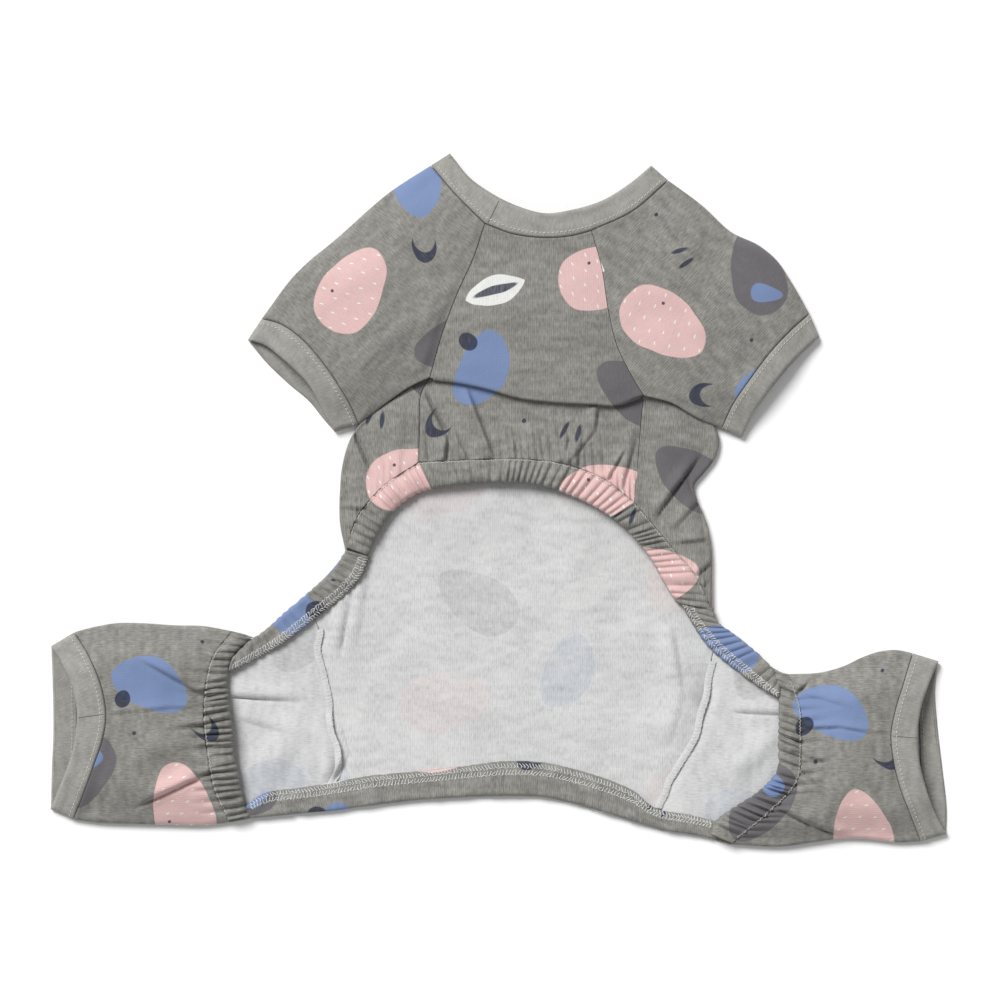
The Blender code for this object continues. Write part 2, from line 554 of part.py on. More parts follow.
def make_body():
    """Back panel with its two wraps, and the chest and belly panel with its tuck."""
    across = dense_at_both(ACROSS_BODY)
    neck = spaced(edges["neck_front"], across)
    raglans = {side: spaced(edges["raglan_seam_" + side], dense_at_start(ALONG_RAGLAN))
               for side in ("left", "right")}
    fold = spaced(edges["chest_fold"], across)
    chest = patch(raglans["left"][::-1], raglans["right"][::-1], neck, fold)
    chest = ridged(chest, RIDGES["chest"], CHEST_WIDTH)

    first = first_tuck_radius()
    second = second_tuck_radius()
    slope = np.gradient(fold, axis=0)
    down = np.stack([slope[:, 1], -slope[:, 0], np.zeros(len(fold))], axis=-1)
    down /= np.linalg.norm(down, axis=-1, keepdims=True)
    up = np.array([0.0, 0.0, 1.0])
    tuck = []
    for turn in np.radians([45, 90, 135, 180]):
        tuck.append(fold + down * first * math.sin(turn) - up * first * (1 - math.cos(turn)))
    hidden = fold - down * TUCK_DEPTH - up * 2 * first
    for turn in np.radians([0, 90, 180]):
        tuck.append(hidden - down * second * math.sin(turn) - up * second * (1 - math.cos(turn)))
    belly_top = fold - up * 2 * (first + second)
    seams = {side: spaced(edges["side_seam_" + side], even(7)) for side in ("left", "right")}
    hem = spaced(edges["casing_front"], across)
    belly = patch(seams["left"], seams["right"], belly_top, hem)
    belly = ridged(belly, RIDGES["belly"], CHEST_WIDTH)
    clear = np.where(np.arange(len(tuck)) < 4, 0.7, 1.6)[:, None] * FOLD_RADIUS
    tuck = np.array(tuck)
    tuck[..., 0] += np.linspace(1.0, -1.0, len(fold)) * clear
    panel = np.concatenate([pulled_in(chest, ends=("from",), sides=("from", "to")), tuck,
                            pulled_in(belly, ends=("to",), sides=("from", "to"))])

    sides = {}
    wraps = []
    ground = np.array([1.0, 1.0, 0.0])
    for side in ("left", "right"):
        share = dense_at_start(ACROSS_WRAP)
        side_fold = spaced(edges["side_fold_" + side], even(ALONG_SIDE_FOLD))
        underarm = bent_line(spots["underarm_" + side], spots["belly_top_" + side], [], BODY_HEIGHT)
        underarm = spaced(underarm, share)
        underarm[:, 2] += side_fold_rise(underarm)
        casing = edges["casing_" + side]
        casing = spaced(casing if side == "left" else casing[::-1], share)
        seam = spaced(edges["side_seam_" + side], even(ALONG_SIDE_FOLD))
        wrap = patch(side_fold, seam, underarm, casing)
        wraps.append((pulled_in(wrap, ends=("from", "to"), sides=("to",), keep=("from",)), True))
        underarm_low = bent_line(spots["armpit_" + side] * ground, spots["underarm_" + side], [], 0.0)
        underarm_low = spaced(underarm_low, even(4))
        underarm_low[:, 2] = np.array([0.0, 0.0, 0.3, 1.0]) * FOLD_RADIUS
        hip = spaced(edges["hip_fore_" + side], even(4))
        hip[:, 2] = np.array([1.0, 0.3, 0.0, 0.0]) * FOLD_RADIUS
        thigh = spaced(edges["thigh_seam_" + side], dense_at_both(ACROSS_LEG))
        raglan = raglans[side][::-1] * ground
        sides[side] = joined(raglan, underarm_low, side_fold, hip, thigh)
    tail = spaced(edges["tail_hem"], across)
    back = laid(patch(sides["left"], sides["right"], neck * ground, tail),
                sides["left"][:, 2], sides["right"][:, 2])
    back = pulled_back_panel(back)
    return panel, back, wraps


def pulled_back_panel(back):
    """Half a seam gap off the neck and off both sides, except along the side folds."""
    first_fold = ALONG_RAGLAN - 1 + 3
    last_fold = first_fold + ALONG_SIDE_FOLD - 1
    free = pulled_in(back, ends=("from",), sides=("from", "to"))
    free[first_fold:last_fold + 1, (0, -1)] = back[first_fold:last_fold + 1, (0, -1)]
    return free


def build():
    for thing in list(bpy.data.objects):
        bpy.data.objects.remove(thing)
    collection = bpy.data.collections.new("dog_jumpsuit")
    bpy.context.scene.collection.children.link(collection)
    garment = bpy.data.objects.new("garment_origin", None)
    collection.objects.link(garment)
    jersey = material("printed_jersey", PRINT_GREY, 0.9)
    rib = material("rib_binding", RIB_GREY, 0.9)
    hem = material("elastic_casing", CASING_GREY, 0.9)
    place_points()
    place_edges()
    made = []

    panel, back, wraps = make_body()
    made.append(sewn_piece("belly_panel", [(panel, True)], CLOTH, jersey, garment, collection))
    made.append(sewn_piece("back_panel", [(back, False)] + wraps, CLOTH, jersey, garment, collection))

    for side in ("left", "right"):
        top, bottom = make_sleeve(side)
        limb = SLEEVES[side]
        band = cuff_band(top, bottom, limb.rim_to, limb.rim_from, -1)
        top = pulled_in(top, ends=("from", "to"))
        bottom = pulled_in(bottom, ends=("from", "to"))
        made.append(sewn_piece("sleeve_" + side, [(top, True), (bottom, False)], CLOTH, jersey,
                               garment, collection))
        made.append(sewn_piece("sleeve_binding_" + side, [(band[0], True), (band[1], False)],
                               BINDING_WALL, rib, garment, collection))

    front = joined(spaced(edges["neck_side_left"], dense_at_end(ALONG_NECK_SIDE))[::-1],
                   spaced(edges["neck_front"], dense_at_both(ACROSS_BODY)),
                   spaced(edges["neck_side_right"], dense_at_end(ALONG_NECK_SIDE)))
    under = laid(front[None], front[:1, 2], front[-1:, 2])[0]
    band = cuff_band(front[None], under[None], *NECK_RIM_TURNS, 0)
    made.append(sewn_piece("neck_binding", [(band[0], True), (band[1], False)], BINDING_WALL, rib,
                           garment, collection))

    for side in ("left", "right"):
        top, bottom = make_leg(side)
        limb = LEGS[side]
        band = cuff_band(top, bottom[:1], limb.rim_from, limb.rim_to, 0)
        seam = top[-1]
        hem_line = bent_line(spots["hip_" + side], spots["tail_" + side], MOUTH_BENDS[side], BODY_HEIGHT)
        hem_line = spaced(hem_line, run_of(seam) / run_of(seam)[-1])
        ends = CLOTH + SEAM_GAP + CASING_WALL
        hem_line[:, 2] = ends
        hem_line = arched(hem_line, MOUTH_HEIGHT)
        trim = 0.04 + 0.87 * even(80)
        gathered = casing_band(spaced(seam, trim), spaced(hem_line, trim), 0.3, 3)
        gathered = pulled_in(pulled_in(gathered, ends=("from",)), ends=("from",))
        made.append(sewn_piece("leg_casing_" + side, [(gathered, True)], CASING_WALL, hem, garment,
                               collection))
        top = pulled_in(pulled_in(top, ends=("from",)), ends=("to",), keep=("from", "to"))
        bottom = pulled_in(bottom, ends=("from", "to"))
        made.append(sewn_piece("leg_" + side, [(top, True), (bottom, False)], CLOTH, jersey,
                               garment, collection))
        made.append(sewn_piece("leg_binding_" + side, [(band[0], True), (band[1], False)],
                               BINDING_WALL, rib, garment, collection))
        hip = joined(edges["hip_fore_" + side], edges["hip_aft_" + side])
        hip_band = make_hem_band(hip, side == "left", 1.6)
        made.append(sewn_piece("hip_casing_" + side, [(hip_band, True)], CASING_WALL, hem,
                               garment, collection))

    seam = joined(edges["casing_left"], edges["casing_front"], edges["casing_right"])
    trim = 0.012 + 0.976 * even(160)
    seam = spaced(seam, trim)
    near_fold = 1 - smooth_step(from_ends(seam) / (4 * CASING_WIDTH))
    seam = inward(seam, 1.2 * CLOTH * near_fold, False)
    belly_band = casing_band(seam, spaced(edges["belly_hem"], trim), 0.3, 3)
    belly_band = pulled_in(pulled_in(belly_band, ends=("from",)), ends=("from",))
    made.append(sewn_piece("belly_casing", [(belly_band, True)], CASING_WALL, hem, garment, collection))
    tail = joined(edges["tail_hem_left"][::-1], edges["tail_hem"], edges["tail_hem_right"])
    made.append(sewn_piece("tail_casing", [(make_hem_band(tail, True, 0.0), True)], CASING_WALL, hem,
                           garment, collection))

    bpy.context.view_layer.update()
    shape = bpy.context.evaluated_depsgraph_get()
    corners = []
    for piece in made:
        evaluated = piece.evaluated_get(shape)
        points = np.empty(len(evaluated.data.vertices) * 3)
        evaluated.data.vertices.foreach_get("co", points)
        corners.append(points.reshape(-1, 3))
    corners = np.concatenate(corners)
    low = corners.min(axis=0)
    high = corners.max(axis=0)
    garment.location = (-(low[0] + high[0]) / 2, -(low[1] + high[1]) / 2, -low[2])


build()
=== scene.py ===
import math

import bpy
import numpy as np
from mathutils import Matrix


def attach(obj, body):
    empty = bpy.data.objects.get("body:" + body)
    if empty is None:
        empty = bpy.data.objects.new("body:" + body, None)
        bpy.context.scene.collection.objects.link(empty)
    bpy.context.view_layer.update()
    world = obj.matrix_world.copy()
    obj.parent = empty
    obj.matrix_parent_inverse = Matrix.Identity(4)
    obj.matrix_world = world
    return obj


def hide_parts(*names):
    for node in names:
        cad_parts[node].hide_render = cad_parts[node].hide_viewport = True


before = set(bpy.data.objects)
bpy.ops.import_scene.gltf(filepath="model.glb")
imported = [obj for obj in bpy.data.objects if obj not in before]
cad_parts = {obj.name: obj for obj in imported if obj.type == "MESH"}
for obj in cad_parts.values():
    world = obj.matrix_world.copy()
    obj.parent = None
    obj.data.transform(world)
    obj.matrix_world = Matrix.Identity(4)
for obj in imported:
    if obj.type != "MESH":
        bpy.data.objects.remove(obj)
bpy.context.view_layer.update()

# Setting: the garment lies on a white table under soft light from above and a little from the
# upper left, seen from straight above through a long lens.
FLOOR_WHITE = (0.93, 0.93, 0.93, 1.0)
CAMERA_HEIGHT = 2.5
VIEW_WIDTH = 0.5
VIEW_CENTRE = (0.0018, -0.00045)
SENSOR = 36.0

table_mesh = bpy.data.meshes.new("table")
table_mesh.from_pydata([(-4, -4, 0), (4, -4, 0), (4, 4, 0), (-4, 4, 0)], [], [(0, 1, 2, 3)])
table = bpy.data.objects.new("table", table_mesh)
bpy.context.scene.collection.objects.link(table)
table_paint = bpy.data.materials.new("table_white")
table_paint.use_nodes = True
table_paint.node_tree.nodes["Principled BSDF"].inputs["Base Color"].default_value = FLOOR_WHITE
table_paint.node_tree.nodes["Principled BSDF"].inputs["Roughness"].default_value = 0.9
table_paint.node_tree.nodes["Principled BSDF"].inputs["Specular IOR Level"].default_value = 0.1
table_mesh.materials.append(table_paint)

lens = bpy.data.cameras.new("camera")
lens.sensor_width = SENSOR
lens.lens = SENSOR * CAMERA_HEIGHT / VIEW_WIDTH
lens.clip_end = 20.0
camera = bpy.data.objects.new("camera", lens)
camera.location = (*VIEW_CENTRE, CAMERA_HEIGHT)
bpy.context.scene.collection.objects.link(camera)
bpy.context.scene.camera = camera

sky = bpy.data.worlds.new("studio")
sky.use_nodes = True
sky.node_tree.nodes["Background"].inputs["Color"].default_value = (1.0, 1.0, 1.0, 1.0)
sky.node_tree.nodes["Background"].inputs["Strength"].default_value = 0.41
bpy.context.scene.world = sky
softbox = bpy.data.lights.new("softbox", "SUN")
softbox.energy = 3.2
softbox.angle = math.radians(26.0)
softbox_object = bpy.data.objects.new("softbox", softbox)
softbox_object.rotation_euler = (math.radians(-33.0), math.radians(-28.0), 0.0)
bpy.context.scene.collection.objects.link(softbox_object)
bpy.context.scene.view_settings.view_transform = "Standard"

# Back panel: one piece of printed cotton jersey, the layer under everything. It wraps round both
# side folds onto the belly side, where the side seams join it to the belly cloth.
JERSEY_WALL = 0.0012
FOLD_RADIUS = 0.0026
CROWN_REACH = 0.022
SEAM_GAP = 0.0003
SWATCH = 0.0005          # side of one plan unit, half a millimetre
PLAN_CORNER = (496.4, 499.1)

GREY_MELANGE = (0.222, 0.218, 0.200, 1.0)
GREY_DARK = (0.122, 0.118, 0.107, 1.0)
GREY_LIGHT = (0.335, 0.330, 0.302, 1.0)
WRONG_SIDE = (0.555, 0.560, 0.556, 1.0)
WRONG_DARK = (0.405, 0.410, 0.410, 1.0)
PEBBLE_PINK = (0.700, 0.470, 0.455, 1.0)
PEBBLE_BLUE = (0.165, 0.235, 0.420, 1.0)
PEBBLE_SLATE = (0.118, 0.112, 0.120, 1.0)
INK_NAVY = (0.026, 0.032, 0.058, 1.0)
CHALK = (0.760, 0.760, 0.740, 1.0)


def plan(points):
    """Plan points in metres: units of SWATCH to the right and down, and millimetres up."""
    points = np.asarray(points, float)
    return np.stack([(points[:, 0] - PLAN_CORNER[0]) * SWATCH, (PLAN_CORNER[1] - points[:, 1]) * SWATCH,
                     points[:, 2] * 0.001], axis=-1)


def even(count):
    """Shares from 0 to 1 in even steps."""
    return np.linspace(0.0, 1.0, count)


def edged(count):
    """Shares from 0 to 1 whose steps are half as long at both ends, where cloth folds."""
    return 0.5 * even(count) + 0.25 * (1.0 - np.cos(even(count) * math.pi))


def run_of(curve):
    """Length along the curve at each of its points."""
    return np.concatenate([[0.0], np.cumsum(np.linalg.norm(np.diff(curve, axis=0), axis=1))])


def shares_of(curve):
    """Share of the curve's whole length at each of its points."""
    return run_of(curve) / run_of(curve)[-1]


def spaced(curve, shares):
    """The curve read again at shares of its length."""
    run = run_of(curve)
    return np.stack([np.interp(shares * run[-1], run, curve[:, axis]) for axis in range(3)], axis=-1)


def through(points, shares):
    """Cubic through plan points, the slope at each taken from its two neighbours, read at shares."""
    points = plan(points)
    if len(points) == 2:
        return points[:1] + (points[1:] - points[:1]) * np.asarray(shares)[:, None]
    run = run_of(points)
    slopes = np.gradient(points, run, axis=0)
    at = np.linspace(0.0, run[-1], 900)
    span = np.clip(np.searchsorted(run, at, side="right") - 1, 0, len(run) - 2)
    width = (run[span + 1] - run[span])[:, None]
    share = (at[:, None] - run[span][:, None]) / width
    pull = share ** 2 * (3 - 2 * share)
    curve = (points[span] * (1 - pull) + points[span + 1] * pull
             + slopes[span] * share * (1 - share) ** 2 * width
             + slopes[span + 1] * share ** 2 * (share - 1) * width)
    return spaced(curve, np.asarray(shares))


def step(value):
    """Smooth rise from 0 to 1 as the value goes from 0 to 1."""
    value = np.clip(value, 0.0, 1.0)
    return value * value * (3 - 2 * value)


def quarter_round(distance, radius):
    """0 on a fold and 1 from radius inwards, as a quarter of a circle rises."""
    return np.sqrt(1.0 - (1.0 - np.clip(distance / radius, 0.0, 1.0)) ** 2)


def joined(*curves):
    """One curve from several that follow each other."""
    return np.concatenate([curves[0], *[curve[1:] for curve in curves[1:]]])


def patch(side_from, side_to, end_from, end_to):
    """Coons surface: rows run along the two sides, columns along the two ends."""
    u = (shares_of(side_from) + shares_of(side_to))[:, None, None] / 2
    v = (shares_of(end_from) + shares_of(end_to))[None, :, None] / 2
    corners = (end_from[0] * (1 - u) * (1 - v) + end_from[-1] * (1 - u) * v
               + end_to[0] * u * (1 - v) + end_to[-1] * u * v)
    return (side_from[:, None] * (1 - v) + side_to[:, None] * v
            + end_from[None] * (1 - u) + end_to[None] * u - corners)


def arched(curve, top):
    """The curve lifted over two folds at its ends, to the height top between them."""
    run = run_of(curve)
    distance = np.minimum(run, run[-1] - run)
    share = run / run[-1]
    ends = curve[0, 2] * (1 - share) + curve[-1, 2] * share
    lifted = curve.copy()
    lifted[:, 2] = (ends + quarter_round(distance, FOLD_RADIUS) * FOLD_RADIUS
                    + step(distance / CROWN_REACH) * (top - ends - FOLD_RADIUS))
    return lifted


def laid(grid, start_lift, end_lift):
    """The grid laid on the ground, curling up to the lifts of its two sides within a fold's reach."""
    flat = grid.copy()
    flat[..., 2] = 0.0
    for side, lift in ((0, start_lift), (-1, end_lift)):
        distance = np.linalg.norm((grid - grid[:, side][:, None])[..., :2], axis=-1)
        reach = np.maximum(lift, FOLD_RADIUS)[:, None]
        flat[..., 2] += lift[:, None] * (1.0 - quarter_round(distance, reach))
    return flat


def soft(x, y, size, seed):
    """Smooth noise from -1 to 1: random values on a square lattice of the size, eased between them."""
    lattice = np.random.default_rng(seed).uniform(-1.0, 1.0, (64, 64))
    column, row = np.floor(x / size).astype(int), np.floor(y / size).astype(int)
    across, up = step(x / size - column), step(y / size - row)
    low = lattice[row % 64, column % 64] * (1 - across) + lattice[row % 64, (column + 1) % 64] * across
    high = (lattice[(row + 1) % 64, column % 64] * (1 - across)
            + lattice[(row + 1) % 64, (column + 1) % 64] * across)
    return low * (1 - up) + high * up


def rumpled(x, y, height, seed):
    """Undulation of slack cloth: three sizes of smooth noise, each lower than the last."""
    return height * (soft(x, y, 0.034, seed) + 0.45 * soft(x + y, y - x, 0.017, seed + 1)
                     + 0.16 * soft(x, y, 0.0065, seed + 2))


def creased(x, y, folds):
    """Sum of folds, each a ridge between two plan points: a bell across its width in millimetres.
    Where the fold is keen, one side falls faster, into a narrow hollow: the side on the right hand
    of the way from the first point to the second, or the other one where keen is negative."""
    lift = np.zeros_like(x)
    for x_from, y_from, x_to, y_to, width, height, keen in folds:
        start, end = plan([(x_from, y_from, 0), (x_to, y_to, 0)])[:, :2]
        way = end - start
        length = np.hypot(*way)
        along = ((x - start[0]) * way[0] + (y - start[1]) * way[1]) / length ** 2
        aside = ((x - start[0]) * way[1] - (y - start[1]) * way[0]) / length / (width * 0.001)
        aside, keen = aside * (1 if keen >= 0 else -1), abs(keen)
        bell = np.exp(-(aside * np.where(aside > 0, 1 + 1.3 * keen, 1.0)) ** 2)
        hollow = 0.85 * keen * np.exp(-((aside - 0.62) / max(0.20, 0.68 / width)) ** 2)
        fade = step(along * 2 + 0.4) * step((1 - along) * 2 + 0.4)
        lift += height * 0.001 * (bell - hollow) * fade
    return lift


def border_fade(grid, reach, sides=(1, 1, 1, 1)):
    """0 on the named borders of a grid (first row, last row, first column, last column), 1 inside."""
    fade = np.ones(grid.shape[:2])
    borders = (grid[:1], grid[-1:], grid[:, :1], grid[:, -1:])
    for wanted, border in zip(sides, borders):
        if wanted:
            fade = fade * step(np.linalg.norm((grid - border)[..., :2], axis=-1) / reach)
    return fade


def drawn_in(grid, ends=(), sides=()):
    """The grid with its sewn borders half a seam gap back from the seam line."""
    grid = grid.copy()
    for name, first, second in (("from", 0, 1), ("to", -1, -2)):
        if name in ends:
            way = grid[second] - grid[first]
            grid[first] += way * SEAM_GAP / 2 / np.linalg.norm(way, axis=-1, keepdims=True)
        if name in sides:
            way = grid[:, second] - grid[:, first]
            grid[:, first] += way * SEAM_GAP / 2 / np.linalg.norm(way, axis=-1, keepdims=True)
    return grid


def cloth_map(grid, turn, shift):
    """Where each point lies on the uncut cloth: the plan turned by degrees and shifted, in metres."""
    angle = math.radians(turn)
    x, y = grid[..., 0], grid[..., 1]
    return np.stack([x * math.cos(angle) + y * math.sin(angle) + shift[0],
                     y * math.cos(angle) - x * math.sin(angle) + shift[1]], axis=-1)


def band_map(grid):
    """Length along the first row and width along the first column, in metres."""
    along = run_of(grid[0])[None, :] + np.zeros(grid.shape[:2])
    across = run_of(grid[:, grid.shape[1] // 2])[:, None] + np.zeros(grid.shape[:2])
    return np.stack([along, across], axis=-1)


def sewn(name, grids, wall, finishes):
    """One piece from grids of points, each with its cloth map and whether its outer face is up;
    points that meet are one, and Solidify gives the wall, inwards."""
    points, maps, faces, start = [], [], [], 0
    for grid, flat, faces_up in grids:
        rows, columns = grid.shape[:2]
        number = np.arange(rows * columns).reshape(rows, columns) + start
        quads = np.stack([number[:-1, :-1], number[:-1, 1:], number[1:, 1:], number[1:, :-1]], axis=-1)
        lean = np.cross(grid[:-1, 1:] - grid[:-1, :-1], grid[1:, :-1] - grid[:-1, :-1])[..., 2].sum()
        quads = quads.reshape(-1, 4)
        faces.append(quads if (lean > 0) == faces_up else quads[:, ::-1])
        points.append(grid.reshape(-1, 3))
        maps.append(flat.reshape(-1, 2))
        start += rows * columns
    points, maps, faces = np.concatenate(points), np.concatenate(maps), np.concatenate(faces)
    _, first, same = np.unique(np.round(points * 1e5).astype(int), axis=0, return_index=True,
                               return_inverse=True)
    same = same.reshape(-1)
    merged = same[faces]
    whole = np.all(np.diff(np.sort(merged, axis=1), axis=1) > 0, axis=1)
    mesh = bpy.data.meshes.new(name)
    mesh.from_pydata(points[first].tolist(), [], merged[whole].tolist())
    layer = mesh.uv_layers.new(name="cloth")
    layer.data.foreach_set("uv", maps[faces[whole]].reshape(-1))
    mesh.shade_smooth()
    for finish in finishes:
        mesh.materials.append(finish)
    piece = bpy.data.objects.new(name, mesh)
    bpy.context.scene.collection.objects.link(piece)
    shell = piece.modifiers.new("wall", "SOLIDIFY")
    shell.thickness = wall
    shell.offset = -1.0
    shell.material_offset = len(finishes) - 1
    shell.use_quality_normals = True
    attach(piece, "root")
    return piece


def cut(name, node, grids):
    """A piece of the printed jersey, its wrong side inwards, in place of its node."""
    piece = sewn(name, grids, JERSEY_WALL, [jersey.material, wrong_side.material])
    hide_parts(node)
    return piece


class Tint:
    """A socket of a material's nodes; sums and products of such sockets add Math nodes."""

    def __init__(self, dye, socket):
        self.dye, self.socket = dye, socket

    def math(self, operation, *others, clamp=False):
        values = dict(enumerate((self, *others)))
        return self.dye.add("Math", {"operation": operation, "use_clamp": clamp}, values)

    def __add__(self, other): return self.math("ADD", other)
    def __mul__(self, other): return self.math("MULTIPLY", other)
    def __sub__(self, other): return self.math("SUBTRACT", other)
    def __rsub__(self, other): return (self * -1.0) + other
    __radd__ = __add__
    __rmul__ = __mul__

    def clamp(self): return self.math("ADD", 0.0, clamp=True)
    def sine(self): return self.math("SINE")
    def floor(self): return self.math("FLOOR")
    def least(self, other): return self.math("MINIMUM", other)
    def most(self, other): return self.math("MAXIMUM", other)
    def wrap(self, width): return self.math("WRAP", width, 0.0)


class Dye:
    """One material and the nodes that colour it."""

    def __init__(self, name, roughness, sheen):
        self.material = bpy.data.materials.new(name)
        self.material.use_nodes = True
        self.tree = self.material.node_tree
        self.shader = self.tree.nodes["Principled BSDF"]
        self.shader.inputs["Roughness"].default_value = roughness
        self.shader.inputs["Specular IOR Level"].default_value = 0.18
        self.shader.inputs["Sheen Weight"].default_value = sheen
        self.shader.inputs["Sheen Roughness"].default_value = 0.6

    def add(self, kind, settings, values, out=0):
        """Any node: its settings first, then a value or a link for each socket named or numbered."""
        node = self.tree.nodes.new("ShaderNode" + kind)
        for key, value in settings.items():
            setattr(node, key, value)
        for key, value in values.items():
            self.feed(node.inputs[key], value)
        return Tint(self, node.outputs[out])

    def feed(self, socket, value):
        if isinstance(value, Tint):
            self.tree.links.new(value.socket, socket)
        else:
            socket.default_value = value

    def cloth(self):
        """The two directions of the piece's cloth map, in metres."""
        node = self.add("SeparateXYZ", {}, {0: self.add("UVMap", {"uv_map": "cloth"}, {})})
        return node, Tint(self, node.socket.node.outputs[1])

    def noise(self, u, v, u_scale, v_scale, detail=3.0):
        """Noise from 0 to 1, with its grain stretched by two scales."""
        place = self.add("CombineXYZ", {}, {0: u * u_scale, 1: v * v_scale})
        return self.add("TexNoise", {}, {"Vector": place, "Scale": 1.0, "Detail": detail})

    def blend(self, share, first, second):
        return self.add("Mix", {"data_type": "RGBA"}, {0: share, 6: first, 7: second}, out=2)

    def relief(self, height, strength, depth):
        self.feed(self.shader.inputs["Normal"],
                  self.add("Bump", {}, {"Strength": strength, "Distance": depth, "Height": height}))


def pebble(u, v, place, halves, turn, egg=0.0):
    """1 inside an egg-shaped pebble and 0 outside: 1 - (u/a)^2 - (v/b)^2, keenly clamped."""
    cosine, sine = math.cos(math.radians(turn)), math.sin(math.radians(turn))
    across = ((u - place[0]) * cosine + (v - place[1]) * sine) * (1 / halves[0])
    up = ((v - place[1]) * cosine - (u - place[0]) * sine) * (1 / halves[1])
    up = up * (1 + across * egg)
    keen = max(1500 * min(halves), 1.6)
    return ((1 - across * across - up * up) * keen).clamp()


REPEAT = (0.122, 0.108)     # size of the repeat of the print, across and along
COLUMN_DROP = 0.047         # how much lower each column of the print starts
FLECK_PITCH = 0.0062


def print_motifs(dye, u, v):
    """The repeat: pebbles with flecks, leaves, a half moon and dots, as pairs of mask and colour."""
    column = (u * (1 / REPEAT[0])).floor()
    wave_u = u + dye.noise(u, v, 55.0, 55.0, 1.0) * 0.0030
    wave_v = v + dye.noise(v, u, 60.0, 60.0, 1.0) * 0.0030
    u, v = wave_u.wrap(REPEAT[0]), (wave_v + column * COLUMN_DROP).wrap(REPEAT[1])
    speck_u, speck_v = u.wrap(FLECK_PITCH), (v + (u * (1 / FLECK_PITCH)).floor() * 0.0031).wrap(0.0074)
    flecks = pebble(speck_u, speck_v, (0.0031, 0.0037), (0.00042, 0.0012), 24)
    pink = pebble(u, v, (0.031, 0.028), (0.0235, 0.0150), 12, 0.22)
    blue = pebble(u, v, (0.093, 0.043), (0.0125, 0.0195), -24, 0.25)
    slate = pebble(u, v, (0.047, 0.079), (0.0225, 0.0135), -33, -0.25)
    leaf = pebble(u, v, (0.097, 0.088), (0.0175, 0.0135), 20).least(
        pebble(u, v, (0.101, 0.077), (0.0180, 0.0130), 20))
    vein = pebble(u, v, (0.099, 0.0825), (0.0125, 0.0022), 20)
    moon = pebble(u, v, (0.071, 0.017), (0.0092, 0.0060), 50).least(
        1 - pebble(u, v, (0.074, 0.020), (0.0080, 0.0056), 50))
    bud = pebble(u, v, (0.058, 0.074), (0.0080, 0.0048), 35, 0.4)
    tip = pebble(u, v, (0.0855, 0.057), (0.0050, 0.0042), -24)
    pods = pebble(u, v, (0.012, 0.060), (0.0052, 0.0013), 62).most(
        pebble(u, v, (0.0185, 0.058), (0.0052, 0.0013), 78)).most(
        pebble(u, v, (0.068, 0.052), (0.0012, 0.0012), 0)).most(
        pebble(u, v, (0.113, 0.018), (0.0012, 0.0012), 0)).most(
        pebble(u, v, (0.0235, 0.035), (0.0010, 0.0010), 0))
    return [(slate, PEBBLE_SLATE), (pink, PEBBLE_PINK), (pink * flecks, CHALK), (blue, PEBBLE_BLUE),
            (leaf, CHALK), (vein, INK_NAVY), (moon, INK_NAVY), (bud, PEBBLE_BLUE), (tip, INK_NAVY),
            (pods, INK_NAVY)]


WALE_PITCH = 0.00105


def melange(dye, u, v, base, dark, light):
    """Knit of mixed grey fibres: fine hairs along each wale, soft clouds that lie across it, and painted
    shade in stripes at the wale pitch.
    """
    hairs = dye.noise(u, v, 1300.0, 300.0, 3.0)
    clouds = dye.noise(u, v, 110.0, 260.0, 4.0)
    drift = dye.noise(u, v, 30.0, 40.0, 1.0)
    # Painted shade: light and dark stripes at the wale pitch stand in for the light and shade of the wale
    # ridges and the hollows between them.
    wales = ((u + clouds * 0.0005) * (2 * math.pi / WALE_PITCH)).sine() * 0.07
    shade = (hairs - 0.5) * 1.15 + (clouds - 0.5) * 0.95 + (drift - 0.5) * 0.30 + wales
    colour = dye.blend((shade * 2.0).clamp(), base, light)
    return dye.blend((shade * -2.0).clamp(), colour, dark)


def knit_relief(dye, u, v, pitch, strength):
    """Rows of wales a pitch apart, with fuzz on them, in place of a smooth skin."""
    wale = (u * (2 * math.pi / pitch)).sine() * 0.10
    fuzz = dye.noise(u, v, 1700.0, 1200.0, 2.0)
    dye.relief(wale + fuzz, strength, 0.00035)


jersey = Dye("printed_jersey", 0.93, 0.12)
u, v = jersey.cloth()
colour = melange(jersey, u, v, GREY_MELANGE, GREY_DARK, GREY_LIGHT)
worn = 0.90 + (jersey.noise(u, v, 1100.0, 240.0, 2.0) - 0.5) * 0.35
for mask, ink in print_motifs(jersey, u, v):
    colour = jersey.blend(mask * worn, colour, ink)
jersey.feed(jersey.shader.inputs["Base Color"], colour)
knit_relief(jersey, u, v, WALE_PITCH, 0.55)

wrong_side = Dye("jersey_wrong_side", 0.97, 0.25)
u, v = wrong_side.cloth()
colour = melange(wrong_side, u, v, WRONG_SIDE, WRONG_DARK, (0.66, 0.66, 0.65, 1.0))
bleed = wrong_side.noise(u, v, 420.0, 260.0, 2.0) * 0.30
for mask, ink in print_motifs(wrong_side, u, v)[:5]:
    colour = wrong_side.blend(mask * bleed, colour, ink)
wrong_side.feed(wrong_side.shader.inputs["Base Color"], colour)
knit_relief(wrong_side, u, v, WALE_PITCH, 0.40)

